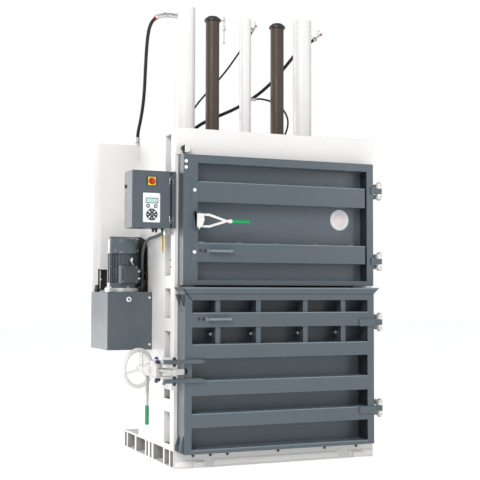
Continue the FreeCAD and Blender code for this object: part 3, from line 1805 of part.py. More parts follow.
def cabinet_shell():
    """Sheet cabinet on the side frame, with the fixed half of its door's hinges."""
    sheet_wall = "cabinet_sheet"
    z = ("cabinet_bottom", "cabinet_top")
    outer = block("cabinet_outer", ("-cabinet_left", LEFT), ("cabinet_face", "cabinet_back"), z)
    rail = block(
        "cabinet_hinge_rail",
        (f"{LEFT} - cabinet_rail", LEFT),
        ("-cabinet_door_front", "cabinet_face + 1"),
        z,
    )
    knuckles = []
    for number, height in enumerate(("cabinet_bottom + 25", "cabinet_top - 55")):
        knuckles.append(
            post(
                f"cabinet_knuckle_{number}",
                f"{LEFT} - cabinet_hinge",
                "-cabinet_door_front + 2",
                height,
                f"{height} + 30",
                "cabinet_hinge_gap - 0.4",
            )
        )
        knuckles.append(
            block(
                f"cabinet_knuckle_leaf_{number}",
                (f"{LEFT} - cabinet_hinge", f"{LEFT} - cabinet_rail + 1"),
                ("-cabinet_door_front", "-cabinet_door_front + 4"),
                (height, f"{height} + 30"),
            )
        )
    body = joined("cabinet_body", [outer, rail] + knuckles)
    hollow = block(
        "cabinet_hollow",
        (f"-cabinet_left + {sheet_wall}", f"{LEFT} - cabinet_rail - {sheet_wall}"),
        ("cabinet_face - 1", f"cabinet_back - {sheet_wall}"),
        (f"{z[0]} + {sheet_wall}", f"{z[1]} - {sheet_wall}"),
    )
    finish(without("cabinet_shell", body, [hollow]), "cabinet_shell")


def cabinet_door():
    """Folded pan door, open towards the cabinet."""
    fold = "cabinet_sheet * 0.5"
    outer = block(
        "cabinet_door_outer",
        ("-cabinet_left", CABINET_DOOR_RIGHT),
        ("-cabinet_door_front", "cabinet_door_back"),
        ("cabinet_bottom", "cabinet_top"),
    )
    inside = block(
        "cabinet_door_inside",
        (f"-cabinet_left + {fold}", f"{CABINET_DOOR_RIGHT} - {fold}"),
        (f"-cabinet_door_front + {fold}", "cabinet_door_back + 1"),
        (f"cabinet_bottom + {fold}", f"cabinet_top - {fold}"),
    )
    finish(without("cabinet_door_pan", outer, [inside]), "cabinet_door")


def switch_plate():
    half = "switch_side / 2"
    item = block(
        "switch_plate",
        (f"-switch_x - {half}", f"-switch_x + {half}"),
        ("-cabinet_door_front - switch_plate", "-cabinet_door_front"),
        (f"switch_height - {half}", f"switch_height + {half}"),
    )
    finish(item, "switch_plate")


def switch_knob():
    """Rotary main switch: a round base with a finger bar across it."""
    back = "-cabinet_door_front - switch_plate - key_gap"
    base = bar(
        "knob_base", "y", "-switch_x", f"{back} - knob_length * 0.4", "switch_height",
        "knob_length * 0.4", "knob_radius",
    )
    ridge = block(
        "knob_ridge",
        ("-switch_x - 5", "-switch_x + 5"),
        (f"{back} - knob_length", f"{back} - knob_length * 0.4 + 1"),
        ("switch_height - knob_radius + 2", "switch_height + knob_radius - 2"),
    )
    finish(joined("switch_knob", [base, ridge]), "switch_knob")


KEYS = {
    "key_left": ("-switch_x - key_spread", "key_height", "key_radius", None),
    "key_right": ("-switch_x + key_spread", "key_height", "key_radius", None),
    "selector_pad": ("-switch_x", "pad_centre", "pad_radius", "centre_radius + key_gap"),
    "centre_key": ("-switch_x", "pad_centre", "centre_radius", None),
}


def control_panel():
    """White panel with round holes for its keys."""
    body = new_body("control_panel")
    face = new_sketch(body, "panel_outline", "XZ", "cabinet_door_front")
    draw_outline(face, rectangle(("-panel_left", "-panel_right"), ("panel_bottom", "panel_top")))
    for name, (x, z, radius, _) in KEYS.items():
        if name != "centre_key":
            draw_circle(face, x, z, f"{radius} + key_gap")
    pad(body, face, "panel_sheet")
    finish(body, "control_panel")


def keys():
    """Push keys, each with room behind it for its travel."""
    for name, (x, z, radius, hole) in KEYS.items():
        body = new_body(name)
        sketch = new_sketch(body, name + "_outline", "XZ", "cabinet_door_front + key_travel_room")
        draw_circle(sketch, x, z, radius)
        if hole:
            draw_circle(sketch, x, z, hole)
        pad(body, sketch, "key_proud")
        finish(body, name)


def interlock_switch():
    """Safety switch above the upper door: a case on the header with a hooked actuator."""
    half = "interlock_width / 2"
    case = block(
        "interlock_case",
        (f"-interlock_x - {half}", "-interlock_x"),
        ("-header_plate - interlock_depth", "-header_plate"),
        ("header_bottom + 10", "header_bottom + 10 + interlock_height"),
    )
    head = block(
        "interlock_head",
        ("-interlock_x - 1", f"-interlock_x + {half}"),
        ("-header_plate - interlock_depth * 0.6", "-header_plate"),
        ("header_bottom + 10", "header_bottom + 10 + interlock_height * 0.7"),
    )
    finish(joined("interlock_switch", [case, head]), "interlock_switch")


def build():
    base_frame()
    chamber_floor()
    side_frame("left_side_frame", -1)
    side_frame("right_side_frame", 1)
    rear_wall()
    press_head()
    front_header()
    guide_bushes()
    guide_tubes()
    guide_caps()
    cylinder_barrels()
    middle_cylinder()
    piston_rods()
    middle_rod()
    platen()
    hinge_brackets()
    hinge_pins()
    lower_door()
    door_handle("lower_handle", "-576", "-lower_depth", "985")
    strap_guides()
    lock_arms()
    upper_door()
    door_handle("upper_handle", "-550", "-(upper_depth - beam_setback)", "1433")
    latch_lever()
    latch_grip()
    round_sign()
    lock_bracket()
    lock_bolts()
    lock_housing()
    lock_spindle()
    handwheel()
    release_lever()
    release_grip()
    oil_tank()
    pump()
    pump_flange()
    motor_body()
    motor_rotor()
    motor_cowl()
    terminal_box()
    cable_glands()
    cord_routes()
    rear_cover()
    cabinet_shell()
    cabinet_door()
    switch_plate()
    switch_knob()
    control_panel()
    keys()
    interlock_switch()


def check_and_write():
    """Stop on any failed feature or bad shape, then write one file for each sub-part."""
    doc.recompute()
    failed = [
        item.Label for item in doc.Objects if "Invalid" in item.State or "Error" in item.State
    ]
    if failed:
        raise RuntimeError("features that failed: " + ", ".join(failed))
    for item in nodes:
        if item.Shape.isNull() or not item.Shape.isValid() or not item.Shape.Solids:
            raise RuntimeError("bad shape: " + item.Label)
    os.makedirs("parts", exist_ok=True)
    for item in nodes:
        item.Shape.exportStep(os.path.join("parts", item.Label + ".step"))
    print(len(nodes), "sub-parts written")


build()
check_and_write()
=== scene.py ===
"""Recycling baler: finishes, fittings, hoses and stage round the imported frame."""
import math

import bmesh
import bpy
from bpy.props import FloatProperty, FloatVectorProperty, IntProperty, PointerProperty
from mathutils import Matrix, Vector


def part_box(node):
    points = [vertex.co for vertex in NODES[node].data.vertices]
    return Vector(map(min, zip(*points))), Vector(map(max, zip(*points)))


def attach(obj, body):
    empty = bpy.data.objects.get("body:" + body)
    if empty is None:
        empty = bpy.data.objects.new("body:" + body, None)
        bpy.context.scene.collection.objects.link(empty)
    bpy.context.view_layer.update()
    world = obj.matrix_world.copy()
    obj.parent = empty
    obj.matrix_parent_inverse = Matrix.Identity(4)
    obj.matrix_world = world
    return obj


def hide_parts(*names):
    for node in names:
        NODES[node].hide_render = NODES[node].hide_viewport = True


bl_info = {
    "name": "Recycling Baler",
    "version": (1, 0, 0),
    "blender": (4, 5, 0),
    "location": "View3D > Sidebar > Baler",
    "description": "Finishes, bolts, hoses and small fittings of an upright recycling baler",
    "category": "Object",
}

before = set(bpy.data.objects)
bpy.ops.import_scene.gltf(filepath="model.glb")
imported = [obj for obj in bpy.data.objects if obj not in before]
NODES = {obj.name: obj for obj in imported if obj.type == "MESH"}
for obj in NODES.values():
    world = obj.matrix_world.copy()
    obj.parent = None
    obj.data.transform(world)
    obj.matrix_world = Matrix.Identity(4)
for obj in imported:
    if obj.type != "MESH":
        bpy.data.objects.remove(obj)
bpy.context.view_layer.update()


# ---------------- measures from the frame

def mm(x, y, z):
    """A point given in millimetres, in metres."""
    return Vector((x, y, z)) / 1000


def low(node):
    return Vector(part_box(node)[0])


def high(node):
    return Vector(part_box(node)[1])


def middle(node):
    return (low(node) + high(node)) / 2


# front faces of the two doors' beams
UPPER_FACE = -0.103
LOWER_FACE = -0.143
# least cosine between a direction and the normal of a face that looks along it
FACING = 0.9
UP = Vector((0, 0, 1))
DOWN = Vector((0, 0, -1))
FORWARD = Vector((0, -1, 0))
BACKWARD = Vector((0, 1, 0))
LEFTWARD = Vector((-1, 0, 0))
RIGHTWARD = Vector((1, 0, 0))


# ---------------- modelling by hand

def clear_selection():
    """Object mode with nothing selected."""
    active = bpy.context.view_layer.objects.active
    if active and active.mode != "OBJECT":
        bpy.ops.object.mode_set(mode="OBJECT")
    bpy.ops.object.select_all(action="DESELECT")


def activate(item):
    """Select the item alone and make it the active one."""
    clear_selection()
    item.select_set(True)
    bpy.context.view_layer.objects.active = item


def settle(name):
    """Name the new object and put its place into its mesh."""
    item = bpy.context.view_layer.objects.active
    item.name = name
    item.data.name = name
    bpy.ops.object.transform_apply(location=True, rotation=True, scale=True)
    return item


def add_block(name, start, end):
    """A box between two corners."""
    start, end = Vector(start), Vector(end)
    clear_selection()
    bpy.ops.mesh.primitive_cube_add(size=1, location=(start + end) / 2)
    bpy.context.object.scale = end - start
    return settle(name)


def add_rod(name, start, end, radius, sides=32):
    """A cylinder from one point to another."""
    start, end = Vector(start), Vector(end)
    along = end - start
    clear_selection()
    bpy.ops.mesh.primitive_cylinder_add(
        vertices=sides,
        radius=radius,
        depth=along.length,
        location=(start + end) / 2,
        rotation=along.to_track_quat("Z", "Y").to_euler(),
    )
    return settle(name)


def add_ring(name, centre, out, radius, thickness, sides=48):
    """A torus round the direction out."""
    clear_selection()
    bpy.ops.mesh.primitive_torus_add(
        location=centre,
        rotation=Vector(out).to_track_quat("Z", "Y").to_euler(),
        major_radius=radius,
        minor_radius=thickness,
        major_segments=sides,
        minor_segments=12,
    )
    return settle(name)


def extrude(offset):
    bpy.ops.mesh.extrude_region_move(TRANSFORM_OT_translate={"value": tuple(offset)})


def stepped(item, direction, *stages):
    """The item with the faces that look along the direction inset and shifted, stage by stage.

    A stage is "wall" for a straight extrusion or "slope" for a plain shift, the width of the
    inset before it, and the distance along the direction.
    """
    activate(item)
    bpy.ops.object.mode_set(mode="EDIT")
    bpy.ops.mesh.select_mode(type="FACE")
    bpy.ops.mesh.select_all(action="DESELECT")
    mesh = bmesh.from_edit_mesh(item.data)
    for face in mesh.faces:
        face.select_set(face.normal.dot(direction) > FACING)
    bmesh.update_edit_mesh(item.data)
    for way, width, distance in stages:
        bpy.ops.mesh.inset(thickness=width, depth=0)
        if way == "wall":
            extrude(direction * distance)
        else:
            bpy.ops.transform.translate(value=direction * distance)
    bpy.ops.object.mode_set(mode="OBJECT")
    return item


def apply_modifiers(item):
    activate(item)
    for modifier in list(item.modifiers):
        bpy.ops.object.modifier_apply(modifier=modifier.name)


def rounded(item, width, steps=2, angle=35):
    """Edges broken by a bevel, then smooth shading across the small angles."""
    bevel = item.modifiers.new("broken_edges", "BEVEL")
    bevel.width = width
    bevel.segments = steps
    bevel.limit_method = "ANGLE"
    bevel.angle_limit = math.radians(angle)
    apply_modifiers(item)
    bpy.ops.object.shade_smooth_by_angle(angle=math.radians(angle))
    return item


def pin(name, start, end, radius, sides, edge):
    """A cylinder with broken edges."""
    return rounded(add_rod(name, start, end, radius, sides), edge)


def place(name, master, out, spots, body, finish):
    """Copies of a master at the spots, all in one direction, as one finished piece."""
    return fasten(spread(name, master, [(spot, out) for spot in spots]), body, finish)


def level_way(degrees):
    """The level direction at an angle from +X."""
    turn = math.radians(degrees)
    return Vector((math.cos(turn), math.sin(turn), 0))


def four_corners(start, end, margin, y):
    """The four corners of an upright rectangle, a margin inside its outline."""
    return [
        (x, y, z)
        for x in (start.x + margin, end.x - margin)
        for z in (start.z + margin, end.z - margin)
    ]


def joined(name, items):
    """Several items as one piece."""
    clear_selection()
    for item in items:
        item.select_set(True)
    bpy.context.view_layer.objects.active = items[0]
    if len(items) > 1:
        bpy.ops.object.join()
    items[0].name = name
    items[0].data.name = name
    return items[0]


def flat_plate(name, corners, thickness):
    """A plate with the given outline, drawn out by the thickness."""
    shape = bmesh.new()
    shape.faces.new([shape.verts.new(corner) for corner in corners])
    data = bpy.data.meshes.new(name)
    shape.to_mesh(data)
    shape.free()
    plate = bpy.data.objects.new(name, data)
    bpy.context.collection.objects.link(plate)
    activate(plate)
    bpy.ops.object.mode_set(mode="EDIT")
    bpy.ops.mesh.select_all(action="SELECT")
    extrude(thickness)
    return turned_out(plate)


def turned_out(item):
    """The item with its normals made to point outwards."""
    activate(item)
    bpy.ops.object.mode_set(mode="EDIT")
    bpy.ops.mesh.select_all(action="SELECT")
    bpy.ops.mesh.normals_make_consistent(inside=False)
    bpy.ops.object.mode_set(mode="OBJECT")
    return item


def spread(name, master, places):
    """Copies of a master that stands on the origin along +Z, one at each place and direction."""
    copies = []
    for spot, out in places:
        copy = master.copy()
        copy.data = master.data.copy()
        bpy.context.collection.objects.link(copy)
        turn = Vector(out).to_track_quat("Z", "Y").to_matrix().to_4x4()
        copy.data.transform(Matrix.Translation(spot) @ turn)
        copies.append(copy)
    bpy.data.objects.remove(master)
    return joined(name, copies)


def fasten(item, body, finish):
    """Give a finished piece its material and its body."""
    item.data.materials.clear()
    item.data.materials.append(MATERIALS[finish])
    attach(item, body)
    return item


# ---------------- repeated fasteners

def button_bolt(radius, height):
    """Round domed head on a thin washer."""
    head = add_rod("button_master", (0, 0, 0), (0, 0, height * 0.35), radius * 1.25, 28)
    stepped(
        head, UP, ("wall", radius * 0.25, height * 0.4), ("slope", radius * 0.22, height * 0.2),
        ("slope", radius * 0.4, height * 0.05),
    )
    return rounded(head, radius * 0.08, 2, 30)


def hex_bolt(radius, height):
    """Hexagon head with a chamfered top, on a round washer."""
    washer = add_rod("hex_washer", (0, 0, 0), (0, 0, height * 0.2), radius * 1.5, 28)
    rounded(washer, radius * 0.08)
    head = add_rod("hex_head", (0, 0, height * 0.2), (0, 0, height), radius, 6)
    stepped(head, UP, ("slope", radius * 0.12, height * 0.08))
    rounded(head, radius * 0.05)
    return joined("hex_master", [washer, head])


def socket_screw(radius, height):
    """Cheese head with a round recess."""
    head = add_rod("socket_master", (0, 0, 0), (0, 0, height), radius, 24)
    stepped(head, UP, ("wall", radius * 0.45, -height * 0.5))
    return rounded(head, radius * 0.08)


def stud_nut(radius, height):
    """Hexagon nut with the round end of its bolt standing out."""
    nut = hex_bolt(radius, height)
    stud = add_rod("stud_end", (0, 0, height * 0.9), (0, 0, height * 1.35), radius * 0.55, 20)
    rounded(stud, radius * 0.1)
    return joined("stud_master", [nut, stud])


# ---------------- finishes

class Finish:
    """A procedural material that is built up on the piece's own object coordinates."""

    def __init__(self, name, colour, roughness, metallic=0.0, coat=0.0):
        self.material = bpy.data.materials.new(name)
        self.material.use_nodes = True
        self.nodes = self.material.node_tree.nodes
        self.links = self.material.node_tree.links
        self.shader = self.nodes["Principled BSDF"]
        values = {
            "Base Color": (*colour, 1),
            "Roughness": roughness,
            "Metallic": metallic,
            "Coat Weight": coat,
            "Coat Roughness": 0.15,
        }
        for entry, value in values.items():
            self.shader.inputs[entry].default_value = value
        self.place = self.nodes.new("ShaderNodeTexCoord").outputs["Object"]
        self.tone = None
        self.base = colour
        self.relief = None

    def add(self, kind, values, sources, **settings):
        """A new shader node with its settings, its input values and the links into it."""
        node = self.nodes.new("ShaderNode" + kind)
        for name, setting in settings.items():
            setattr(node, name, setting)
        for name, value in values.items():
            node.inputs[name].default_value = value
        for name, source in sources.items():
            self.links.new(source, node.inputs[name])
        return node

    def noise(self, scale, detail=3.0, stretch=None, roughness=0.55):
        """A noise value, stretched along the axes if asked."""
        source = self.place
        if stretch:
            source = self.add("Mapping", {"Scale": stretch}, {"Vector": source}).outputs["Vector"]
        values = {"Scale": scale, "Detail": detail, "Roughness": roughness}
        return self.add("TexNoise", values, {"Vector": source}).outputs["Fac"]

    def band(self, value, start, end, to_low=0.0, to_high=1.0):
        """The value mapped from start..end to to_low..to_high, held at both ends."""
        values = {"From Min": start, "From Max": end, "To Min": to_low, "To Max": to_high}
        return self.add("MapRange", values, {"Value": value}).outputs["Result"]

    def times(self, first, second):
        return self.add("Math", {}, {0: first, 1: second}, operation="MULTIPLY").outputs[0]

    def tint(self, amount, colour):
        """Blend towards a colour by an amount that varies over the surface."""
        values = {"B": (*colour, 1)}
        sources = {"Factor": amount}
        if self.tone is None:
            values["A"] = (*self.base, 1)
        else:
            sources["A"] = self.tone
        self.tone = self.add("Mix", values, sources, data_type="RGBA").outputs["Result"]
        self.links.new(self.tone, self.shader.inputs["Base Color"])

    def vary_roughness(self, value, rough_low, rough_high):
        rough = self.band(value, 0.3, 0.7, rough_low, rough_high)
        self.links.new(rough, self.shader.inputs["Roughness"])

    def bump(self, value, strength, distance):
        """Relief on top of any relief already there."""
        sources = {"Height": value}
        if self.relief is not None:
            sources["Normal"] = self.relief
        values = {"Strength": strength, "Distance": distance}
        self.relief = self.add("Bump", values, sources).outputs["Normal"]
        self.links.new(self.relief, self.shader.inputs["Normal"])

    def upward(self):
        """1 on faces that look up, 0 on walls and undersides."""
        normal = self.add("NewGeometry", {}, {}).outputs["Normal"]
        height = self.add("SeparateXYZ", {}, {"Vector": normal}).outputs["Z"]
        return self.band(height, 0.5, 0.95)

    def within(self, axis, start, end, mirrored=False):
        """1 where the coordinate along the axis lies between two values, in metres, else 0."""
        value = self.add("SeparateXYZ", {}, {"Vector": self.place}).outputs[axis]
        if mirrored:
            value = self.add("Math", {}, {0: value}, operation="ABSOLUTE").outputs[0]
        values = {1: (start + end) / 2, 2: (end - start) / 2}
        return self.add("Math", values, {0: value}, operation="COMPARE").outputs[0]


def darker(colour, factor):
    return tuple(channel * factor for channel in colour)


def sprayed_paint(name, colour, roughness=0.42, dust=0.25, grime=0.2, coat=0.08, painted_shades=()):
    """Sprayed machine paint: fine orange peel, faint cloudiness, dust on ledges, scuffs, and
    painted shade in given zones.

    Each painted shade is a factor and the ranges along the axes inside which it darkens the paint
    as painted shade.
    """
    finish = Finish(name, colour, roughness, coat=coat)
    cloud = finish.noise(2.3, 4)
    finish.tint(finish.band(cloud, 0.35, 0.7, 0.0, 0.5), darker(colour, 0.9))
    streak = finish.noise(5.0, 5, stretch=(3.0, 3.0, 0.5))
    finish.tint(finish.band(streak, 0.6, 0.78, 0.0, grime * 0.5), darker(colour, 0.7))
    dusty = tuple(0.55 * channel + 0.45 * 0.72 for channel in colour)
    loose = finish.times(finish.upward(), finish.band(finish.noise(14.0, 4), 0.3, 0.7, 0.3, 1.0))
    finish.tint(finish.band(loose, 0.0, 1.0, 0.0, dust), dusty)
    scuff = finish.noise(60.0, 6, stretch=(0.25, 0.25, 1.0), roughness=0.7)
    finish.tint(finish.band(scuff, 0.72, 0.8, 0.0, 0.5), dusty)
    # painted shade: each zone darkens the paint where shade falls
    for shade, ranges in painted_shades:
        inside = finish.within(*ranges[0])
        for more in ranges[1:]:
            inside = finish.times(inside, finish.within(*more))
        finish.tint(inside, darker(colour, shade))
    finish.vary_roughness(finish.noise(9.0, 4), roughness - 0.06, roughness + 0.1)
    finish.bump(finish.noise(420.0, 2), 0.12, 0.0006)
    finish.bump(finish.noise(3.0, 2), 0.18, 0.004)
    return finish.material


def bare_metal(name, colour, roughness, stretch=(1, 1, 12), tarnish=0.35):
    """Turned or brushed metal with fine lines and some tarnish."""
    finish = Finish(name, colour, roughness, metallic=1.0)
    finish.tint(finish.band(finish.noise(30.0, 4), 0.45, 0.75, 0.0, tarnish), darker(colour, 0.45))
    finish.vary_roughness(finish.noise(45.0, 4), roughness - 0.08, roughness + 0.14)
    finish.bump(finish.noise(700.0, 2, stretch=stretch), 0.25, 0.0002)
    return finish.material


def moulded(name, colour, roughness, grain=900.0, relief=0.2, coat=0.0):
    """Moulded plastic or rubber with a fine grain and slight fading."""
    finish = Finish(name, colour, roughness, coat=coat)
    finish.tint(finish.band(finish.noise(12.0, 4), 0.4, 0.75, 0.0, 0.45), darker(colour, 0.72))
    pale = tuple(0.8 * channel + 0.2 * 0.5 for channel in colour)
    finish.tint(finish.band(finish.noise(70.0, 5), 0.68, 0.8, 0.0, 0.5), pale)
    finish.vary_roughness(finish.noise(20.0, 3), roughness - 0.07, roughness + 0.09)
    finish.bump(finish.noise(grain, 2), relief, 0.0003)
    return finish.material


def cast_paint(name, colour, roughness=0.5, coat=0.1):
    """Painted casting with a coarse skin."""
    finish = Finish(name, colour, roughness, coat=coat)
    finish.tint(finish.band(finish.noise(18.0, 5), 0.4, 0.7, 0.0, 0.5), darker(colour, 0.75))
    finish.tint(finish.band(finish.noise(90.0, 4), 0.66, 0.78, 0.0, 0.4), darker(colour, 1.5))
    finish.vary_roughness(finish.noise(25.0, 3), roughness - 0.08, roughness + 0.12)
    finish.bump(finish.noise(160.0, 5), 0.4, 0.0009)
    return finish.material


MATERIALS = {}


# ---------------- settings

COLOUR = {"subtype": "COLOR", "size": 3, "min": 0, "max": 1}
LENGTH = {"unit": "LENGTH"}
POWER = {"unit": "POWER", "min": 0, "max": 5000}


class BalerColours(bpy.types.PropertyGroup):
    """Colours of the baler's finishes."""

    frame_white: FloatVectorProperty(
        name="Frame white", description="Paint of the press frame and its cylinders",
        default=(0.745, 0.727, 0.708), **COLOUR,
    )
    door_grey: FloatVectorProperty(
        name="Door grey", description="Blue-grey paint of the doors, cabinet and tank",
        default=(0.070, 0.092, 0.108), **COLOUR,
    )
    guide_brown: FloatVectorProperty(
        name="Guide brown", description="Paint of the two guide tubes",
        default=(0.052, 0.033, 0.022), **COLOUR,
    )
    grip_green: FloatVectorProperty(
        name="Grip green", description="Grips of the latch and release levers",
        default=(0.0, 0.27, 0.085), **COLOUR,
    )
    hose_black: FloatVectorProperty(
        name="Hose black", description="Rubber of the hoses and cables",
        default=(0.004, 0.0045, 0.005), **COLOUR,
    )
    switch_yellow: FloatVectorProperty(
        name="Switch yellow", description="Plate of the main switch",
        default=(0.85, 0.55, 0.01), **COLOUR,
    )
    switch_red: FloatVectorProperty(
        name="Switch red", description="Knob of the main switch and the caps of the ports",
        default=(0.62, 0.02, 0.015), **COLOUR,
    )


class BalerSizes(bpy.types.PropertyGroup):
    """Sizes of the small fittings."""

    door_bolt: FloatProperty(
        name="Door bolt", description="Radius of the round bolt heads on the upper door",
        default=0.0095, min=0.004, max=0.02, **LENGTH,
    )
    frame_bolt: FloatProperty(
        name="Frame bolt", description="Radius of the hexagon heads on the lock's bracket",
        default=0.008, min=0.003, max=0.02, **LENGTH,
    )
    edge: FloatProperty(
        name="Broken edge", description="Width of the broken edges of the welded sections",
        default=0.0025, min=0.0, max=0.01, **LENGTH,
    )
    ferrule: FloatProperty(
        name="Ferrule", description="Length of the swaged sleeve on each hose end",
        default=0.052, min=0.02, max=0.1, **LENGTH,
    )
    blades: IntProperty(
        name="Grille rings", description="Number of wire rings in the motor's grille",
        default=5, min=2, max=9,
    )


class BalerStage(bpy.types.PropertyGroup):
    """Light and floor."""

    key_power: FloatProperty(
        name="Key light", description="Power of the large light at the front left",
        default=560, **POWER,
    )
    fill_power: FloatProperty(
        name="Fill light", description="Power of the large light at the front right",
        default=125, **POWER,
    )
    rim_power: FloatProperty(
        name="Rim light", description="Power of the large light behind the left side",
        default=400, **POWER,
    )
    sky: FloatProperty(
        name="Sky", description="Strength of the even light from all round",
        default=0.47, min=0, max=3,
    )


# ---------------- finishes and stage

class BALER_OT_finishes(bpy.types.Operator):
    """Make the materials and put them on the frame's own parts"""

    bl_idname = "baler.finishes"
    bl_label = "Finishes"

    def execute(self, context):
        colours = context.scene.baler_colours
        white, grey = tuple(colours.frame_white), tuple(colours.door_grey)
        brown, green = tuple(colours.guide_brown), tuple(colours.grip_green)
        rubber = tuple(colours.hose_black)
        yellow, red = tuple(colours.switch_yellow), tuple(colours.switch_red)
        recipes = {
            sprayed_paint: {
                "frame_paint": (white, 0.4, 0.0, 0.12, 0.2),
                "column_paint": (white, 0.4, 0.0, 0.12, 0.2, COLUMN_PAINTED_SHADE),
                "base_paint": (white, 0.45, 0.1, 0.35, 0.1, BASE_PAINTED_SHADE),
                "door_paint": (grey, 0.4, 0.3, 0.25, 0.15, DOOR_PAINTED_SHADE),
                "box_paint": (darker(grey, 0.9), 0.34, 0.3, 0.25, 0.7),
                "guide_paint": (brown, 0.5, 0.05, 0.2, 0.0),
                # A copy of the door grey 2.1 times as bright: painted highlight, for the grab
                # handles, their feet and the rods along the beams and the lip.
                "handle_paint": (darker(grey, 2.1), 0.3, 0.2, 0.1, 0.6),
                "cowl_paint": (darker(grey, 0.95), 0.28, 0.25, 0.2, 1.0),
            },
            cast_paint: {
                "motor_paint": (darker(grey, 0.9), 0.2, 1.0),
                "lock_paint": (darker(white, 0.95), 0.45),
            },
            moulded: {
                "hose_rubber": (rubber, 0.62, 500.0, 0.35),
                "cable_sheath": (darker(rubber, 1.3), 0.42),
                "black_plastic": ((0.018, 0.018, 0.02), 0.4),
                "conduit_plastic": ((0.1, 0.115, 0.125), 0.45, 300.0, 0.4),
                "grip_plastic": (green, 0.35, 600.0, 0.3, 0.15),
                "panel_plastic": ((0.74, 0.77, 0.76), 0.35, 700.0, 0.08, 0.2),
                "key_plastic": ((0.13, 0.16, 0.17), 0.45, 700.0, 0.15),
                "ring_plastic": ((0.010, 0.014, 0.018), 0.6, 700.0, 0.15),
                "screen": ((0.40, 0.60, 0.52), 0.15, 900.0, 0.02, 0.6),
                "yellow_plastic": (yellow, 0.35),
                "red_plastic": (red, 0.3, 900.0, 0.2, 0.2),
                "box_plastic": (darker(grey, 0.7), 0.38),
                "sign_film": ((0.66, 0.67, 0.68), 0.35, 700.0, 0.05, 0.2),
                "tag_plastic": ((0.83, 0.62, 0.02), 0.4, 700.0, 0.1),
                "sign_ink": ((0.72, 0.61, 0.61), 0.4, 700.0, 0.05),
                # near-black for painted shade behind the rear cover's windows and behind the
                # conduit
                "dark_blank": ((0.004, 0.004, 0.005), 0.6),
                "sign_grey": ((0.42, 0.43, 0.45), 0.4, 700.0, 0.05),
                "bolt_white": ((0.82, 0.81, 0.79), 0.3, 500.0, 0.1, 0.3),
                "deep_blue": ((0.02, 0.035, 0.075), 0.3, 500.0, 0.1, 0.3),
            },
            bare_metal: {
                "turned_steel": ((0.56, 0.56, 0.55), 0.32),
                "zinc": ((0.62, 0.63, 0.62), 0.38, (1, 1, 1), 0.5),
                "dark_steel": ((0.08, 0.085, 0.09), 0.42, (1, 1, 1)),
                "rod_chrome": ((0.72, 0.73, 0.74), 0.1, (1, 1, 20), 0.1),
                "floor_plate": ((0.33, 0.33, 0.33), 0.5, (1, 20, 1), 0.7),
            },
        }
        for make, finishes in recipes.items():
            for name, values in finishes.items():
                MATERIALS[name] = make(name, *values)
        for name, nodes in CAD_FINISHES.items():
            for node in nodes.split():
                slots = NODES[node].material_slots
                if not slots:
                    NODES[node].data.materials.append(MATERIALS[name])
                for entry in slots:
                    entry.material = MATERIALS[name]
        return {"FINISHED"}


# Painted shade on the door paint: the inner walls of both right stiles, the left side faces of both
# doors, a painted shadow line under the lower door's lip, and the insides of the lower door's
# window rows.
DOOR_PAINTED_SHADE = [
    (0.17, [("X", 0.6465, 0.6495), ("Y", -0.1, -0.002), ("Z", 1.24, 2.04)]),
    (0.17, [("X", 0.6275, 0.6305), ("Y", -0.139, -0.002), ("Z", 0.13, 1.12)]),
    (0.6, [("X", -0.728, -0.7235), ("Y", -0.085, -0.001), ("Z", 1.2, 2.07)]),
    (0.4, [("X", -0.725, 0.70), ("Y", -0.153, -0.140), ("Z", 1.1455, 1.1515)]),
    (0.45, [("X", -0.728, -0.7235), ("Y", -0.115, -0.028), ("Z", 1.03, 1.147)]),
    (0.55, [("X", -0.7, 0.66), ("Y", -0.125, -0.0005), ("Z", 0.823, 0.9285)]),
    (0.55, [("X", -0.7, 0.66), ("Y", -0.125, -0.0005), ("Z", 1.029, 1.1065)]),
]
# Painted shade inside the slots of both side columns.
COLUMN_PAINTED_SHADE = [(0.2, [("X", 0.64, 0.7486, True), ("Y", 0.076, 0.1945), ("Z", 0.14, 2.2225)])]
# Painted shade inside the base's open ends, and a lighter painted shade over the base's front face.
BASE_PAINTED_SHADE = [
    (0.4, [("X", 0.0, 0.7485, True), ("Y", 0.004, 1.1), ("Z", 0.0105, 0.1145)]),
    (0.84, [("Y", -0.003, 0.003), ("Z", 0.0, 0.128)]),
]
CAD_FINISHES = {
    "column_paint": "left_side_frame right_side_frame",
    "frame_paint": "rear_wall press_head front_header "
    "cylinder_barrels middle_cylinder hinge_brackets rear_cover",
    "base_paint": "base_frame",
    "lock_paint": "lock_bracket latch_lever lock_housing handwheel",
    "box_paint": "oil_tank cabinet_shell cabinet_door",
    "door_paint": "upper_door lower_door lock_arms",
    # grab handles in the lighter grey that paints a highlight on them
    "handle_paint": "upper_handle lower_handle",
    "guide_paint": "guide_tubes",
    "ring_plastic": "selector_pad",
    "cowl_paint": "motor_cowl",
    "motor_paint": "motor_body motor_rotor pump",
    "box_plastic": "terminal_box",
    "hose_rubber": "pressure_hose left_hose right_hose middle_hose loop_hose",
    "cable_sheath": "motor_cables",
    "conduit_plastic": "supply_conduit",
    "black_plastic": "guide_caps interlock_switch",
    "grip_plastic": "latch_grip release_grip",
    "turned_steel": "guide_bushes lock_spindle",
    "zinc": "pump_flange hinge_pins strap_guides hose_fittings "
    "cable_glands lock_bolts release_lever",
    "rod_chrome": "piston_rods middle_rod",
    "yellow_plastic": "switch_plate",
    "red_plastic": "switch_knob",
    "panel_plastic": "control_panel",
    "key_plastic": "key_left key_right centre_key",
    "sign_film": "round_sign",
    "floor_plate": "chamber_floor platen",
}


# yaw, pitch and roll of the camera in degrees, its place in millimetres and its lens
VIEW_ANGLES = (23.048, 2.803, 0.146)
VIEW_POINT = (-3049.3, -6510.9, 1168.3)
VIEW_LENS = 78.26
LIGHT_AIM = Vector((0, 0.3, 1.4))
FLOOR_GLOW = 0.55


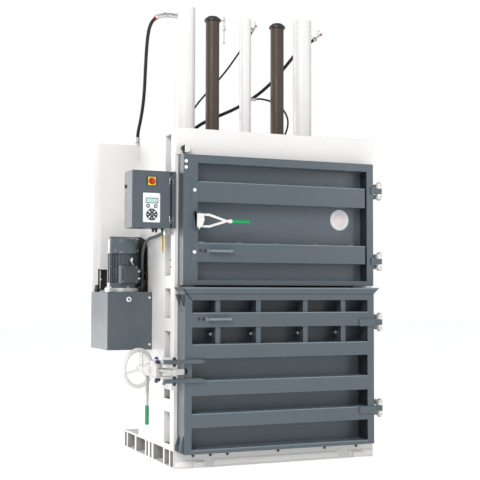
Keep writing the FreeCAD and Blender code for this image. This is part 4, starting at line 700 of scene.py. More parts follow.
class BALER_OT_stage(bpy.types.Operator):
    """Set the camera, the floor and the studio light"""

    bl_idname = "baler.stage"
    bl_label = "Stage"

    def execute(self, context):
        settings = context.scene.baler_stage
        yaw, pitch, roll = (math.radians(angle) for angle in VIEW_ANGLES)
        ahead = Vector(
            (math.sin(yaw) * math.cos(pitch), math.cos(yaw) * math.cos(pitch), math.sin(pitch))
        )
        right = Vector((math.cos(yaw), -math.sin(yaw), 0))
        upright = right.cross(ahead)
        leaned = right * math.cos(roll) + upright * math.sin(roll)
        upright = upright * math.cos(roll) - right * math.sin(roll)
        lens = bpy.data.cameras.new("view")
        lens.lens = VIEW_LENS
        lens.sensor_width = 36
        lens.clip_end = 200
        camera = bpy.data.objects.new("view", lens)
        turn = Matrix((leaned, upright, -ahead)).transposed().to_4x4()
        camera.matrix_world = Matrix.Translation(mm(*VIEW_POINT)) @ turn
        context.collection.objects.link(camera)
        context.scene.camera = camera

        clear_selection()
        bpy.ops.mesh.primitive_plane_add(size=60, location=(0, 0, -0.001))
        floor = settle("floor")
        finish = Finish("studio_floor", (0.93, 0.93, 0.93), 0.7)
        finish.tint(finish.band(finish.noise(0.8, 3), 0.3, 0.7, 0.0, 0.5), (0.9, 0.9, 0.9))
        finish.shader.inputs["Emission Color"].default_value = (1, 1, 1, 1)
        finish.shader.inputs["Emission Strength"].default_value = FLOOR_GLOW
        floor.data.materials.append(finish.material)

        self.add_light("key", settings.key_power, 4.0, (-5.5, -6.0, 6.5))
        self.add_light("fill", settings.fill_power, 4.0, (6.0, -6.5, 3.5))
        self.add_light("rim", settings.rim_power, 5.0, (-6.5, 7.5, 2.6))
        self.add_sky(context, settings.sky)
        context.scene.view_settings.view_transform = "Standard"
        return {"FINISHED"}

    def add_sky(self, context, strength):
        """White behind the object, and an even light of the given strength from all round."""
        world = bpy.data.worlds.new("studio")
        world.use_nodes = True
        nodes = world.node_tree.nodes
        links = world.node_tree.links
        light = nodes["Background"]
        light.inputs["Color"].default_value = (0.97, 0.985, 1, 1)
        light.inputs["Strength"].default_value = strength
        backdrop = nodes.new("ShaderNodeBackground")
        backdrop.inputs["Color"].default_value = (1, 1, 1, 1)
        chooser = nodes.new("ShaderNodeMixShader")
        links.new(nodes.new("ShaderNodeLightPath").outputs["Is Camera Ray"], chooser.inputs[0])
        links.new(light.outputs[0], chooser.inputs[1])
        links.new(backdrop.outputs[0], chooser.inputs[2])
        links.new(chooser.outputs[0], nodes["World Output"].inputs["Surface"])
        context.scene.world = world

    def add_light(self, name, power, size, spot):
        lamp = bpy.data.lights.new(name, "AREA")
        lamp.energy = power
        lamp.size = size
        item = bpy.data.objects.new(name, lamp)
        aim = LIGHT_AIM - Vector(spot)
        turn = aim.to_track_quat("-Z", "Y").to_matrix().to_4x4()
        item.matrix_world = Matrix.Translation(spot) @ turn
        bpy.context.collection.objects.link(item)


# ---------------- hoses and cables

HOSE_ROUTES = {
    "left_hose": (
        (-604, 566, 3162), (-658, 566, 3158), (-708, 574, 3132), (-738, 594, 3082),
        (-744, 632, 2992),
        (-730, 710, 2824), (-708, 806, 2616), (-704, 886, 2460), (-712, 954, 2344),
        (-712, 954, 2267),
    ),
    "right_hose": (
        (600, 586, 3112), (556, 634, 3082), (484, 682, 3016), (376, 706, 2872), (220, 704, 2702),
        (10, 702, 2556), (-194, 700, 2462), (-324, 702, 2396), (-388, 708, 2326), (-388, 708, 2264),
    ),
    "middle_hose": (
        (70, 578, 3128), (66, 624, 3096), (44, 672, 3036), (-10, 690, 2952), (-110, 692, 2810),
        (-218, 692, 2686), (-326, 696, 2566), (-402, 702, 2446), (-440, 710, 2336),
        (-440, 710, 2264),
    ),
    "loop_hose": (
        (80, 576, 2600), (126, 616, 2616), (192, 650, 2622), (276, 652, 2606), (356, 650, 2558),
        (398, 650, 2482), (388, 652, 2396), (344, 656, 2320), (344, 656, 2264),
    ),
    "pressure_hose": (
        (-772, 893, 1412), (-772, 849, 1412), (-772, 805, 1386), (-772, 783, 1326),
        (-772, 785, 1256),
        (-772, 789, 1204), (-772, 789, 1160),
    ),
    "supply_conduit": (
        (-784, 75, 1555), (-784, 165, 1555), (-780, 295, 1539), (-778, 435, 1535),
        (-778, 527, 1515),
        (-779, 583, 1463), (-780, 599, 1385), (-781, 593, 1305), (-781, 589, 1233),
        (-781, 589, 1160),
    ),
    "upper_cable": (
        (-815.5, 545, 1305), (-789.5, 545, 1305), (-766.5, 547, 1291), (-757.5, 553, 1263),
        (-761.5, 562, 1225), (-769.5, 569, 1193), (-769.5, 569, 1160),
    ),
    "lower_cable": (
        (-815.5, 545, 1255), (-795.5, 545, 1255), (-779.5, 547, 1243), (-775.5, 552, 1221),
        (-783.5, 560, 1193), (-789.5, 565, 1176), (-789.5, 565, 1160),
    ),
}
# radius, real length and finish of each
HOSES = {
    "left_hose": (0.0125, 1.068, "hose_rubber"),
    "right_hose": (0.0125, 1.369, "hose_rubber"),
    "middle_hose": (0.007, 1.064, "hose_rubber"),
    "loop_hose": (0.007, 0.624, "hose_rubber"),
    "pressure_hose": (0.010, 0.322, "hose_rubber"),
    "supply_conduit": (0.010, 0.832, "conduit_plastic"),
    "upper_cable": (0.005, 0.187, "cable_sheath"),
    "lower_cable": (0.005, 0.126, "cable_sheath"),
}
# length of the sleeve at a hose's start, as a share of the ferrule's length
NEAR_SHARES = {"left_hose": 1.9, "right_hose": 0.3, "middle_hose": 0.3, "loop_hose": 0.4}
MARKED_HOSES = ("left_hose", "pressure_hose")


def spline_through(name, route, radius):
    """A round cord on a smooth spline with the route's points as its control points."""
    line = bpy.data.curves.new(name, "CURVE")
    line.dimensions = "3D"
    line.resolution_u = 16
    line.bevel_depth = radius
    line.bevel_resolution = 5
    line.use_fill_caps = True
    spline = line.splines.new("NURBS")
    spline.points.add(len(route) - 1)
    for point, spot in zip(spline.points, route):
        point.co = (*mm(*spot), 1)
    spline.order_u = 3
    spline.use_endpoint_u = True
    item = bpy.data.objects.new(name, line)
    bpy.context.collection.objects.link(item)
    return item


def centre_line(hose):
    """Points along the hose's spline, close together."""
    bare = hose.copy()
    bare.data = hose.data.copy()
    bare.data.bevel_depth = 0
    bpy.context.collection.objects.link(bare)
    bpy.context.view_layer.update()
    mesh = bpy.data.meshes.new_from_object(
        bare.evaluated_get(bpy.context.evaluated_depsgraph_get())
    )
    points = [vertex.co.copy() for vertex in mesh.vertices]
    bpy.data.objects.remove(bare)
    bpy.data.meshes.remove(mesh)
    return points


def places_along(hose, distances):
    """Point and direction of the hose at each distance from its start."""
    points = centre_line(hose)
    found = []
    for distance in distances:
        gone = 0.0
        for start, end in zip(points, points[1:]):
            step = (end - start).length
            if gone + step >= distance:
                found.append(
                    (start.lerp(end, (distance - gone) / step), (end - start).normalized())
                )
                break
            gone += step
    return found


def line_length(hose):
    points = centre_line(hose)
    return sum((end - start).length for start, end in zip(points, points[1:]))


def sleeve_along(name, hose, start, end, radius, rings=()):
    """A metal sleeve over a stretch of the hose, swollen to each (distance, radius) in rings."""
    count = max(6, int((end - start) / 0.004))
    marks = [start + (end - start) * step / count for step in range(count + 1)]
    line = bpy.data.curves.new(name, "CURVE")
    line.dimensions = "3D"
    line.bevel_depth = radius
    line.bevel_resolution = 6
    line.use_fill_caps = True
    spots = places_along(hose, marks)
    spline = line.splines.new("POLY")
    spline.points.add(len(spots) - 1)
    for point, (spot, _), mark in zip(spline.points, spots, marks):
        point.co = (*spot, 1)
        for ring, swell in rings:
            if abs(mark - ring) < 0.004:
                point.radius = swell / radius
    item = bpy.data.objects.new(name, line)
    bpy.context.collection.objects.link(item)
    activate(item)
    bpy.ops.object.convert(target="MESH")
    item = bpy.context.view_layer.objects.active
    bpy.ops.object.shade_smooth_by_angle(angle=math.radians(40))
    return item


class BALER_OT_hoses(bpy.types.Operator):
    """Lay the hydraulic hoses, the conduit and the motor's cables, with their end fittings"""

    bl_idname = "baler.hoses"
    bl_label = "Hoses and cables"

    def execute(self, context):
        ferrule = context.scene.baler_sizes.ferrule
        for name, (radius, length, finish) in HOSES.items():
            hose = spline_through(name + "_line", HOSE_ROUTES[name], radius)
            fasten(hose, "frame", finish)
            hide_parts(name if name in NODES else "motor_cables")
            extras = self.fit_ends(name, hose, radius, ferrule)
        return {"FINISHED"}

    def fit_ends(self, name, hose, radius, ferrule):
        """The ribs of a conduit, the boot of a cable, or the ferrules and mark of a hose."""
        whole = line_length(hose)
        if name == "supply_conduit":
            pitch = 0.0055
            distances = [0.03 + pitch * step for step in range(int((whole - 0.05) / pitch))]
            rib = add_ring("rib_master", (0, 0, 0), UP, radius, 0.0016, 16)
            ribs = spread("conduit_ribs", rib, places_along(hose, distances))
            return [fasten(ribs, "frame", "conduit_plastic")]
        if name.endswith("cable"):
            swell = [(0.0, radius * 1.9)]
            boot = sleeve_along(name + "_boot", hose, 0.0, 0.022, radius * 1.5, swell)
            return [fasten(boot, "frame", "black_plastic")]
        long_end = ferrule * NEAR_SHARES.get(name, 1.0)
        rings = ((0.23, 1.65), (0.31, 1.65), (0.88, 1.5))
        swells = [(long_end * share, radius * swell) for share, swell in rings]
        sleeve = radius * 1.25
        near = sleeve_along(name + "_near_ferrule", hose, 0.0, long_end, sleeve, swells)
        start, end = whole - ferrule, whole - 0.001
        swells = [(whole - 0.012, radius * 1.6)]
        far = sleeve_along(name + "_far_ferrule", hose, start, end, sleeve, swells)
        mark = None
        if name in MARKED_HOSES:
            mark = add_ring("mark_master", (0, 0, 0), UP, radius * 1.12, 0.0035)
            mark = spread(name + "_mark", mark, places_along(hose, [long_end + 0.004]))
        fittings = [fasten(near, "frame", "zinc"), fasten(far, "frame", "zinc")]
        if mark:
            fittings.append(fasten(mark, "frame", "red_plastic"))
        return fittings


class BALER_OT_ports(bpy.types.Operator):
    """Tees, bleed nipples and caps on the upper ports of the right and middle cylinders"""

    bl_idname = "baler.ports"
    bl_label = "Upper ports"

    def execute(self, context):
        for name, start, end in (
            ("right_port", (600, 586, 3112), (640, 586, 3144)),
            ("middle_port", (70, 578, 3128), (86, 578, 3152)),
        ):
            start, end = mm(*start), mm(*end)
            along = end - start
            parts = [pin(name + "_stem", start, end, 0.009, 24, 0.001)]
            for share, height in ((0.3, 0.052), (0.75, 0.046)):
                foot = start + along * share
                parts.append(pin(name + "_nipple", foot, foot + UP * height, 0.0055, 20, 0.001))
                parts.append(
                    pin(name + "_nut", foot + UP * 0.012, foot + UP * 0.022, 0.0085, 6, 0.0006)
                )
            fasten(joined(name, parts), "frame", "zinc")
            tip = end + along.normalized() * 0.012
            fasten(pin(name + "_cap", end, tip, 0.0115, 28, 0.003), "frame", "red_plastic")
        return {"FINISHED"}


# ---------------- both doors

FOLD_X = -0.7147
FOLD_RADIUS = 0.0118


def highlight_rods_along(tops, left, right, y):
    """Rods just under the tops of the beams, from left to right, in paint lighter than the door's:
    painted highlights along the beams' edges.
    """
    rows = [top - 0.003 for top in tops]
    return [pin("highlight_rod", (left, y, z), (right, y, z), 0.004, 16, 0.001) for z in rows]


def folded_edge(name, door, y, bottom, top):
    """The round fold down the left edge of a door's sheet."""
    start, end = (FOLD_X, y, bottom), (FOLD_X, y, top)
    fasten(pin(name, start, end, FOLD_RADIUS, 32, 0.001), door, "door_paint")


# ---------------- upper door

UPPER_BEAM_TOPS = (1.486, 1.892)


class BALER_OT_upper_door(bpy.types.Operator):
    """Bolts, beam end plates, tabs, painted highlight rods, handle feet and the sign's rings on the
    upper door
    """

    bl_idname = "baler.upper_door"
    bl_label = "Upper door fittings"

    def execute(self, context):
        radius = context.scene.baler_sizes.door_bolt
        face = UPPER_FACE
        spots = [(-0.708, face, z) for z in (2.021, 1.981)]
        spots += [(-0.648, face - 0.002, z) for z in (1.832, 1.424)]
        bolt = button_bolt(radius, 0.009)
        place("upper_door_bolts", bolt, FORWARD, spots, "upper_door", "bolt_white")

        plates = []
        for bottom, top in ((1.359, 1.486), (1.755, 1.892)):
            plate = add_block("beam_plate", (-0.668, face - 0.002, bottom), (-0.624, face, top))
            stepped(plate, FORWARD, ("wall", 0.002, 0.0006))
            plates.append(rounded(plate, 0.0006))
        fasten(joined("beam_end_plates", plates), "upper_door", "door_paint")

        tabs = []
        for x in (-0.600, -0.335, -0.060, 0.240, 0.520):
            tab = add_block("beam_tab", (x - 0.022, -0.100, 1.484), (x + 0.022, -0.088, 1.494))
            stepped(tab, UP, ("slope", 0.003, 0.003))
            tabs.append(rounded(tab, 0.001))
        fasten(joined("beam_tabs", tabs), "upper_door", "door_paint")

        x, y, z = middle("round_sign").x, low("round_sign").y, middle("round_sign").z
        rings = []
        for size, width in ((0.066, 0.0012), (0.046, 0.0009)):
            rings.append(add_ring("sign_ring", (x, y - 0.0002, z), FORWARD, size, width, 64))
        fasten(joined("sign_rings", rings), "upper_door", "sign_grey")
        disc = add_rod("sign_centre", (x, y, z), (x, y - 0.0008, z), 0.043, 64)
        stepped(disc, FORWARD, ("wall", 0.004, 0.0004))
        fasten(rounded(disc, 0.0003), "upper_door", "sign_ink")
        # rods in paint lighter than the door's along the beams' tops: painted highlights
        highlight_rods = highlight_rods_along(UPPER_BEAM_TOPS, -0.618, 0.638, -0.0973)
        fasten(joined("upper_highlight_rods", highlight_rods), "upper_door", "handle_paint")
        self.handle_feet()
        folded_edge("door_fold", "upper_door", -0.0917, 1.209, 2.065)
        return {"FINISHED"}

    def handle_feet(self):
        """Round feet and end bolts of the grab handles on both doors."""
        for node, body, face in (
            ("upper_handle", "upper_door", -0.100), ("lower_handle", "lower_door", LOWER_FACE)
        ):
            start, end = low(node), high(node)
            row = (start.z + end.z) / 2
            spots = [(x, face, row) for x in (start.x + 0.007, end.x - 0.007)]
            foot = add_rod("foot_master", (0, 0, 0), (0, 0, 0.004), 0.014, 28)
            stepped(foot, UP, ("slope", 0.004, 0.003))
            # the feet take the lighter painted-highlight grey
            place(node + "_feet", rounded(foot, 0.0008), FORWARD, spots, body, "handle_paint")
            spots = [(start.x - gap, face, row) for gap in (0.022, 0.052)]
            place(node + "_screws", button_bolt(0.008, 0.007), FORWARD, spots, body, "dark_steel")


# ---------------- latch lever

class BALER_OT_latch(bpy.types.Operator):
    """Pivot boss, cheek plate, plate foot and grip rings of the latch lever"""

    bl_idname = "baler.latch"
    bl_label = "Latch lever"

    def execute(self, context):
        start = low("latch_lever")
        front = start.y - 0.006
        row = middle("latch_lever").z
        cheek = (
            (0.005, 0.0455), (0.038, 0.0455), (0.044, 0.020), (0.042, -0.012), (0.030, -0.036),
            (0.018, -0.0455), (0.005, -0.0455),
        )
        foot = ((0.005, -0.0463), (0.018, -0.0463), (0.010, -0.058), (0.005, -0.053))
        for name, outline, depth, edge, body in (
            ("latch_plate", cheek, 0.008, 0.0018, "latch_lever"),
            ("latch_foot", foot, 0.0066, 0.0012, "upper_door"),
        ):
            corners = [(start.x + x, front, row + z) for x, z in outline]
            plate = flat_plate(name, corners, (0, depth, 0))
            fasten(rounded(plate, edge), body, "frame_paint")
        x, z = start.x + 0.026, row + 0.004
        boss = add_rod("latch_boss", (x, front + 0.0005, z), (x, front - 0.005, z), 0.0175, 40)
        stepped(boss, FORWARD, ("wall", 0.004, 0.003), ("slope", 0.003, 0.0015))
        fasten(rounded(boss, 0.0007), "latch_lever", "frame_paint")

        x, y = low("latch_grip").x, (low("latch_grip").y + high("latch_grip").y) / 2
        collar = pin("latch_collar", (x - 0.022, y, row), (x + 0.002, y, row), 0.0135, 32, 0.002)
        fasten(collar, "latch_lever", "frame_paint")
        self.grip_rings("latch_grip", "latch_lever", RIGHTWARD)
        self.grip_rings("release_grip", "lock_spindle", DOWN)
        return {"FINISHED"}

    def grip_rings(self, node, body, along):
        """Raised rings round a moulded grip and its rounded end."""
        start, end = low(node), high(node)
        centre = (start + end) / 2
        length = abs((end - start).dot(along))
        radius = min((end - start).x, (end - start).y, (end - start).z) / 2
        places = []
        for step in range(9):
            offset = length * (0.08 + 0.09 * step) - length / 2
            places.append((centre + along * offset, along))
        ring = add_ring("ring_master", (0, 0, 0), UP, radius - 0.0004, 0.0012, 32)
        rings = spread(node + "_rings", ring, places)
        fasten(rings, body, "grip_plastic")


# ---------------- control cabinet

class BALER_OT_cabinet(bpy.types.Operator):
    """Switch border, display, keys, dial marks, lock and hinges of the control cabinet"""

    bl_idname = "baler.cabinet"
    bl_label = "Control cabinet"

    def execute(self, context):
        self.switch()
        self.display()
        self.dial()
        self.hardware()
        return {"FINISHED"}

    def switch(self):
        start, end = low("switch_plate"), high("switch_plate")
        front, bottom, top = start.y - 0.003, start.z - 0.0005, end.z + 0.0005
        bars = []
        for left in (start.x - 0.0085, end.x + 0.0005):
            bar = add_block("switch_bar", (left, front, bottom), (left + 0.008, end.y, top))
            bars.append(rounded(bar, 0.001))
        fasten(joined("switch_border", bars), "cabinet_door", "deep_blue")
        x, y, z = middle("switch_knob").x, low("switch_knob").y, middle("switch_knob").z
        near, far = (x - 0.0045, y - 0.006, z - 0.0165), (x + 0.0045, y + 0.002, z + 0.0165)
        ridge = stepped(add_block("knob_ridge", near, far), FORWARD, ("slope", 0.0015, 0.0012))
        fasten(rounded(ridge, 0.0012), "switch_knob", "red_plastic")
        collar = add_ring("knob_collar", (x, start.y - 0.0015, z), FORWARD, 0.0195, 0.0022)
        fasten(collar, "cabinet_door", "black_plastic")

    def display(self):
        """The display, the panel's screws and rim, and the two round keys' marks and rings."""
        start, end = low("control_panel"), high("control_panel")
        front = start.y
        bezel = add_block("display_bezel", (-0.959, front - 0.0016, 1.741), (-0.871, front, 1.777))
        stepped(bezel, FORWARD, ("wall", 0.0045, -0.0012))
        fasten(rounded(bezel, 0.0007), "cabinet_door", "key_plastic")
        near, far = (-0.9545, front - 0.0011, 1.7455), (-0.8755, front - 0.0002, 1.7725)
        glass = add_block("display_glass", near, far)
        fasten(rounded(glass, 0.0003), "cabinet_door", "screen")
        spots = four_corners(start, end, 0.007, front)
        place("panel_screws", socket_screw(0.003, 0.0015), FORWARD, spots, "cabinet_door", "zinc")
        near = (start.x - 0.003, front + 0.0004, start.z - 0.003)
        rim = add_block("panel_rim", near, (end.x + 0.003, end.y, end.z + 0.003))
        fasten(rounded(rim, 0.0008), "cabinet_door", "ring_plastic")
        for node in ("key_left", "key_right"):
            x, y, z = middle(node).x, low(node).y, middle(node).z
            cap = pin(node + "_mark", (x, y, z), (x, y - 0.0008, z), 0.0052, 24, 0.0003)
            fasten(cap, node, "panel_plastic")
            ring = add_ring(node + "_ring", (x, front - 0.0006, z), FORWARD, 0.0110, 0.0018, 32)
            fasten(ring, "cabinet_door", "ring_plastic")

    def dial(self):
        pad = middle("selector_pad")
        front = low("selector_pad").y
        bars = []
        for quarter in range(4):
            turn = math.radians(45 + 90 * quarter)
            out = Vector((math.cos(turn), 0, math.sin(turn)))
            side = Vector((-math.sin(turn), 0, math.cos(turn))) * 0.0034
            bar = add_block("dial_gap", (-0.5, -0.5, -0.5), (0.5, 0.5, 0.5))
            inner, outer = pad + out * 0.0145, pad + out * 0.0352
            inner.y = outer.y = front - 0.0004
            corners = [inner - side, outer - side, outer + side, inner + side]
            for vertex in bar.data.vertices:
                corner = corners[
                    (0 if vertex.co.z < 0 else 3) if vertex.co.x < 0 else (
                        1 if vertex.co.z < 0 else 2
                    )
                ]
                vertex.co = corner + Vector((0, -0.0004 if vertex.co.y < 0 else 0.0004, 0))
            bars.append(bar)
        fasten(turned_out(joined("dial_gaps", bars)), "selector_pad", "panel_plastic")
        arrows = []
        for quarter in range(4):
            turn = math.radians(90 * quarter)
            out = Vector((math.cos(turn), 0, math.sin(turn)))
            spot = pad + out * 0.0255
            spot.y = front - 0.0004
            clear_selection()
            bpy.ops.mesh.primitive_cylinder_add(
                vertices=3, radius=0.0062, depth=0.0008, location=spot
            )
            arrow = bpy.context.view_layer.objects.active
            arrow.rotation_euler = FORWARD.to_track_quat("Z", "Y").to_euler()
            arrow = settle("dial_arrow")
            there, back = Matrix.Translation(spot), Matrix.Translation(-spot)
            spin = there @ Matrix.Rotation(-turn + math.pi / 2, 4, "Y") @ back
            arrow.data.transform(spin)
            arrows.append(rounded(arrow, 0.0002))
        fasten(joined("dial_arrows", arrows), "selector_pad", "panel_plastic")
        ring = add_ring("dial_ring", (pad.x, front + 0.0006, pad.z), FORWARD, 0.0375, 0.0016, 64)
        fasten(ring, "cabinet_door", "key_plastic")
        x, y, z = middle("centre_key").x, low("centre_key").y, middle("centre_key").z
        cap = add_rod("centre_mark", (x, y, z), (x, y - 0.0008, z), 0.0078, 32)
        stepped(cap, FORWARD, ("wall", 0.002, -0.0004))
        fasten(rounded(cap, 0.0002), "centre_key", "key_plastic")

    def hardware(self):
        """The cabinet's lock with its key, the cable glands, and the door's hinge."""
        left, bottom = low("cabinet_shell").x, low("cabinet_shell").z
        y, z = 0.118, 1.858
        lock = add_rod("cabinet_lock", (left + 0.001, y, z), (left - 0.004, y, z), 0.0125, 32)
        stepped(lock, LEFTWARD, ("wall", 0.003, 0.003), ("wall", 0.004, -0.002))
        rounded(lock, 0.0007)
        wing = add_block(
            "cabinet_lock_key", (left - 0.010, 0.1155, 1.846), (left - 0.004, 0.1205, 1.870)
        )
        lock = joined("cabinet_lock", [lock, rounded(wing, 0.0015)])
        fasten(lock, "frame", "black_plastic")

        spots = [(x, y, bottom) for x, y in ((-0.815, 0.060), (-0.845, 0.100), (-0.880, 0.060))]
        nut = hex_bolt(0.0105, 0.010)
        dome = add_rod("gland_dome", (0, 0, 0.008), (0, 0, 0.024), 0.0078, 24)
        gland = joined("gland_master", [nut, rounded(dome, 0.003)])
        place("cabinet_glands", gland, DOWN, spots, "frame", "black_plastic")

        edge = high("cabinet_door").x
        x, y = edge - 0.003, low("cabinet_door").y + 0.002
        leaves = []
        for z in (1.640, 1.890):
            leaves.append(pin("leaf", (x, y, z - 0.02), (x, y, z + 0.02), 0.0035, 20, 0.0006))
        fasten(joined("cabinet_door_knuckles", leaves), "cabinet_door", "zinc")
        spots = [(edge + 0.018, -0.024, z) for z in (1.632, 1.648, 1.882, 1.898)]
        place("cabinet_hinge_screws", socket_screw(0.004, 0.003), FORWARD, spots, "frame", "zinc")


# ---------------- power pack

# circle of the flange's bolts, and of the heads of the cowl's screws
BOLT_CIRCLE = 0.121
COWL_RADIUS = 0.1145


class BALER_OT_power_pack(bpy.types.Operator):
    """Bolts, filler, level glass and lifting eye of the tank and motor, and its grille"""

    bl_idname = "baler.power_pack"
    bl_label = "Power pack"

    def execute(self, context):
        front = low("oil_tank").y
        x, z = -0.921, 1.109
        glass = add_rod("tank_level_glass", (x, front, z), (x, front - 0.007, z), 0.018, 40)
        stepped(glass, FORWARD, ("wall", 0.004, 0.003), ("wall", 0.004, -0.003))
        fasten(rounded(glass, 0.001), "frame", "bolt_white")
        dot = pin("level_mark", (x, front - 0.004, z), (x, front - 0.0085, z), 0.0075, 28, 0.0008)
        fasten(dot, "frame", "dark_steel")
        spots = [(-0.770, front, 1.121), (-0.768, front, 0.795)]
        place("tank_bolts", button_bolt(0.0065, 0.006), FORWARD, spots, "frame", "bolt_white")
        self.tank_lid()
        self.motor(context.scene.baler_sizes.blades)
        self.terminal_box()
        return {"FINISHED"}

    def tank_lid(self):
        start, end = low("oil_tank"), high("oil_tank")
        filler = add_rod(
            "tank_filler", (-1.040, 0.850, end.z), (-1.040, 0.850, end.z + 0.024), 0.02, 40
        )
        stepped(filler, UP, ("wall", 0.003, 0.022), ("wall", 0.004, 0.004))
        fasten(rounded(filler, 0.0015), "frame", "black_plastic")
        spots = [
            (x, y, end.z) for x in (start.x + 0.012, end.x - 0.012) for y in (0.475, 0.68, 0.878)
        ]
        place("lid_bolts", hex_bolt(0.005, 0.006), UP, spots, "frame", "zinc")

    def motor(self, blades):
        """Bolts of the flange, grille, rims and screws of the cowl, and the lifting eye."""
        axis = middle("pump_flange")
        flange_top = high("pump_flange").z
        spots = []
        for step in range(6):
            turn = math.radians(30 + 60 * step)
            x, y = axis.x + BOLT_CIRCLE * math.cos(turn), axis.y + BOLT_CIRCLE * math.sin(turn)
            spots.append((x, y, flange_top))
        place("flange_bolts", hex_bolt(0.0065, 0.009), UP, spots, "frame", "zinc")

        foot, top = low("motor_cowl").z, high("motor_cowl").z
        hub = Vector((axis.x, axis.y, top - 0.0005))
        wires = []
        for step in range(blades):
            radius = 0.018 + 0.062 * step / (blades - 1)
            wires.append(add_ring("grille_ring", hub, UP, radius, 0.0016, 48))
        for step in range(8):
            out = level_way(45 * step)
            wires.append(add_rod("grille_bar", hub + out * 0.012, hub + out * 0.084, 0.0014, 8))
        fasten(joined("motor_grille", wires), "frame", "dark_steel")

        rims = [
            add_ring("cowl_rim", (axis.x, axis.y, foot + 0.006), UP, 0.1135, 0.003, 96),
            add_ring("cowl_shoulder", (axis.x, axis.y, top - 0.026), UP, 0.1136, 0.0022, 96),
        ]
        fasten(joined("cowl_rims", rims), "frame", "cowl_paint")
        centre = Vector((axis.x, axis.y, foot + 0.02))
        ways = [level_way(45 + 90 * step) for step in range(4)]
        places = [(centre + way * COWL_RADIUS, way) for way in ways]
        fasten(spread("cowl_screws", socket_screw(0.005, 0.004), places), "frame", "zinc")

        x, y, z = axis.x + 0.028, axis.y - 0.1065, 1.385
        eye = add_ring("lifting_eye", (x, y - 0.006, z), RIGHTWARD, 0.014, 0.0045, 40)
        shank = pin("eye_shank", (x, y + 0.012, z), (x, y - 0.002, z), 0.008, 24, 0.001)
        start, end = (x, y - 0.009, 1.372), (axis.x + 0.040, y - 0.009, 1.350)
        drop = pin("eye_drop", start, end, 0.0042, 16, 0.001)
        fasten(joined("lifting_eye", [eye, shank, drop]), "frame", "bolt_white")

    def terminal_box(self):
        start, end = low("terminal_box"), high("terminal_box")
        near = (start.x + 0.002, start.y - 0.007, start.z + 0.002)
        lid = add_block("terminal_lid", near, (end.x - 0.002, start.y, end.z - 0.002))
        stepped(lid, FORWARD, ("slope", 0.006, 0.003), ("wall", 0.016, 0.002))
        fasten(rounded(lid, 0.0015), "frame", "box_plastic")
        spots = four_corners(start, end, 0.014, start.y - 0.0075)
        place("terminal_screws", socket_screw(0.0042, 0.005), FORWARD, spots, "frame", "zinc")
        y = 0.545
        glands = []
        for z in (1.305, 1.255):
            glands.append(pin("gland_hex", (-0.8325, y, z), (-0.826, y, z), 0.0155, 6, 0.0008))
            glands.append(pin("gland_cap", (-0.8255, y, z), (-0.8145, y, z), 0.0112, 28, 0.002))
        fasten(joined("gland_nuts", glands), "frame", "zinc")


# ---------------- rear cover and side wall

class BALER_OT_rear_cover(bpy.types.Operator):
    """Painted shadow plates behind the cover's windows, seams, screws, a painted shadow plate
    behind the conduit, and the yellow tag
    """

    bl_idname = "baler.rear_cover"
    bl_label = "Rear cover"

    def execute(self, context):
        front = low("rear_cover").y
        # near-black plates behind the cover's windows: painted shade for the dark inside
        blanks = []
        for left, right, bottom, top in (
            (-0.940, -0.700, 1.331, 1.570), (-1.021, -0.949, 1.169, 1.328)
        ):
            blank = add_block(
                "window_shadow_blank", (left, front + 0.0035, bottom), (right, front + 0.0055, top)
            )
            stepped(blank, FORWARD, ("wall", 0.012, -0.0008))
            blanks.append(rounded(blank, 0.0004))
        fasten(joined("window_shadow_blanks", blanks), "frame", "dark_blank")
        spots = [(-1.000, front + 0.0035, 1.250)]
        place("window_stud", button_bolt(0.005, 0.005), FORWARD, spots, "frame", "bolt_white")

        back = high("rear_cover").y
        spots = [(x, back, z) for x in (-0.985, -0.66) for z in (0.80, 1.16, 1.51, 1.86, 2.21)]
        place("cover_screws", button_bolt(0.006, 0.005), BACKWARD, spots, "frame", "bolt_white")
        seam = []
        for height in (1.26, 1.74):
            strip = add_block(
                "cover_seam", (-0.990, back - 0.0005, height),
                (-0.646, back + 0.0009, height + 0.03),
            )
            seam.append(rounded(strip, 0.0006))
        fasten(joined("cover_seams", seam), "frame", "frame_paint")

        fasten(
            pin("earth_wire", (-0.7560, 0.231, 1.428), (-0.7560, 0.231, 1.548), 0.0052, 16, 0.002),
            "frame", "tag_plastic",
        )
        # a near-black plate on the side wall behind the conduit: painted shade
        outline = ((0.738, 1.560), (0.600, 1.530), (0.566, 1.460), (0.556, 1.166), (0.738, 1.166))
        duct = flat_plate("cable_duct", [(-0.7505, y, z) for y, z in outline], (-0.006, 0, 0))
        fasten(rounded(duct, 0.002), "frame", "dark_blank")
        spots = [(-0.7500, 0.067, z) for z in (1.374, 1.327)]
        place("wall_screws", socket_screw(0.0055, 0.004), LEFTWARD, spots, "frame", "dark_steel")
        return {"FINISHED"}


# ---------------- door switch

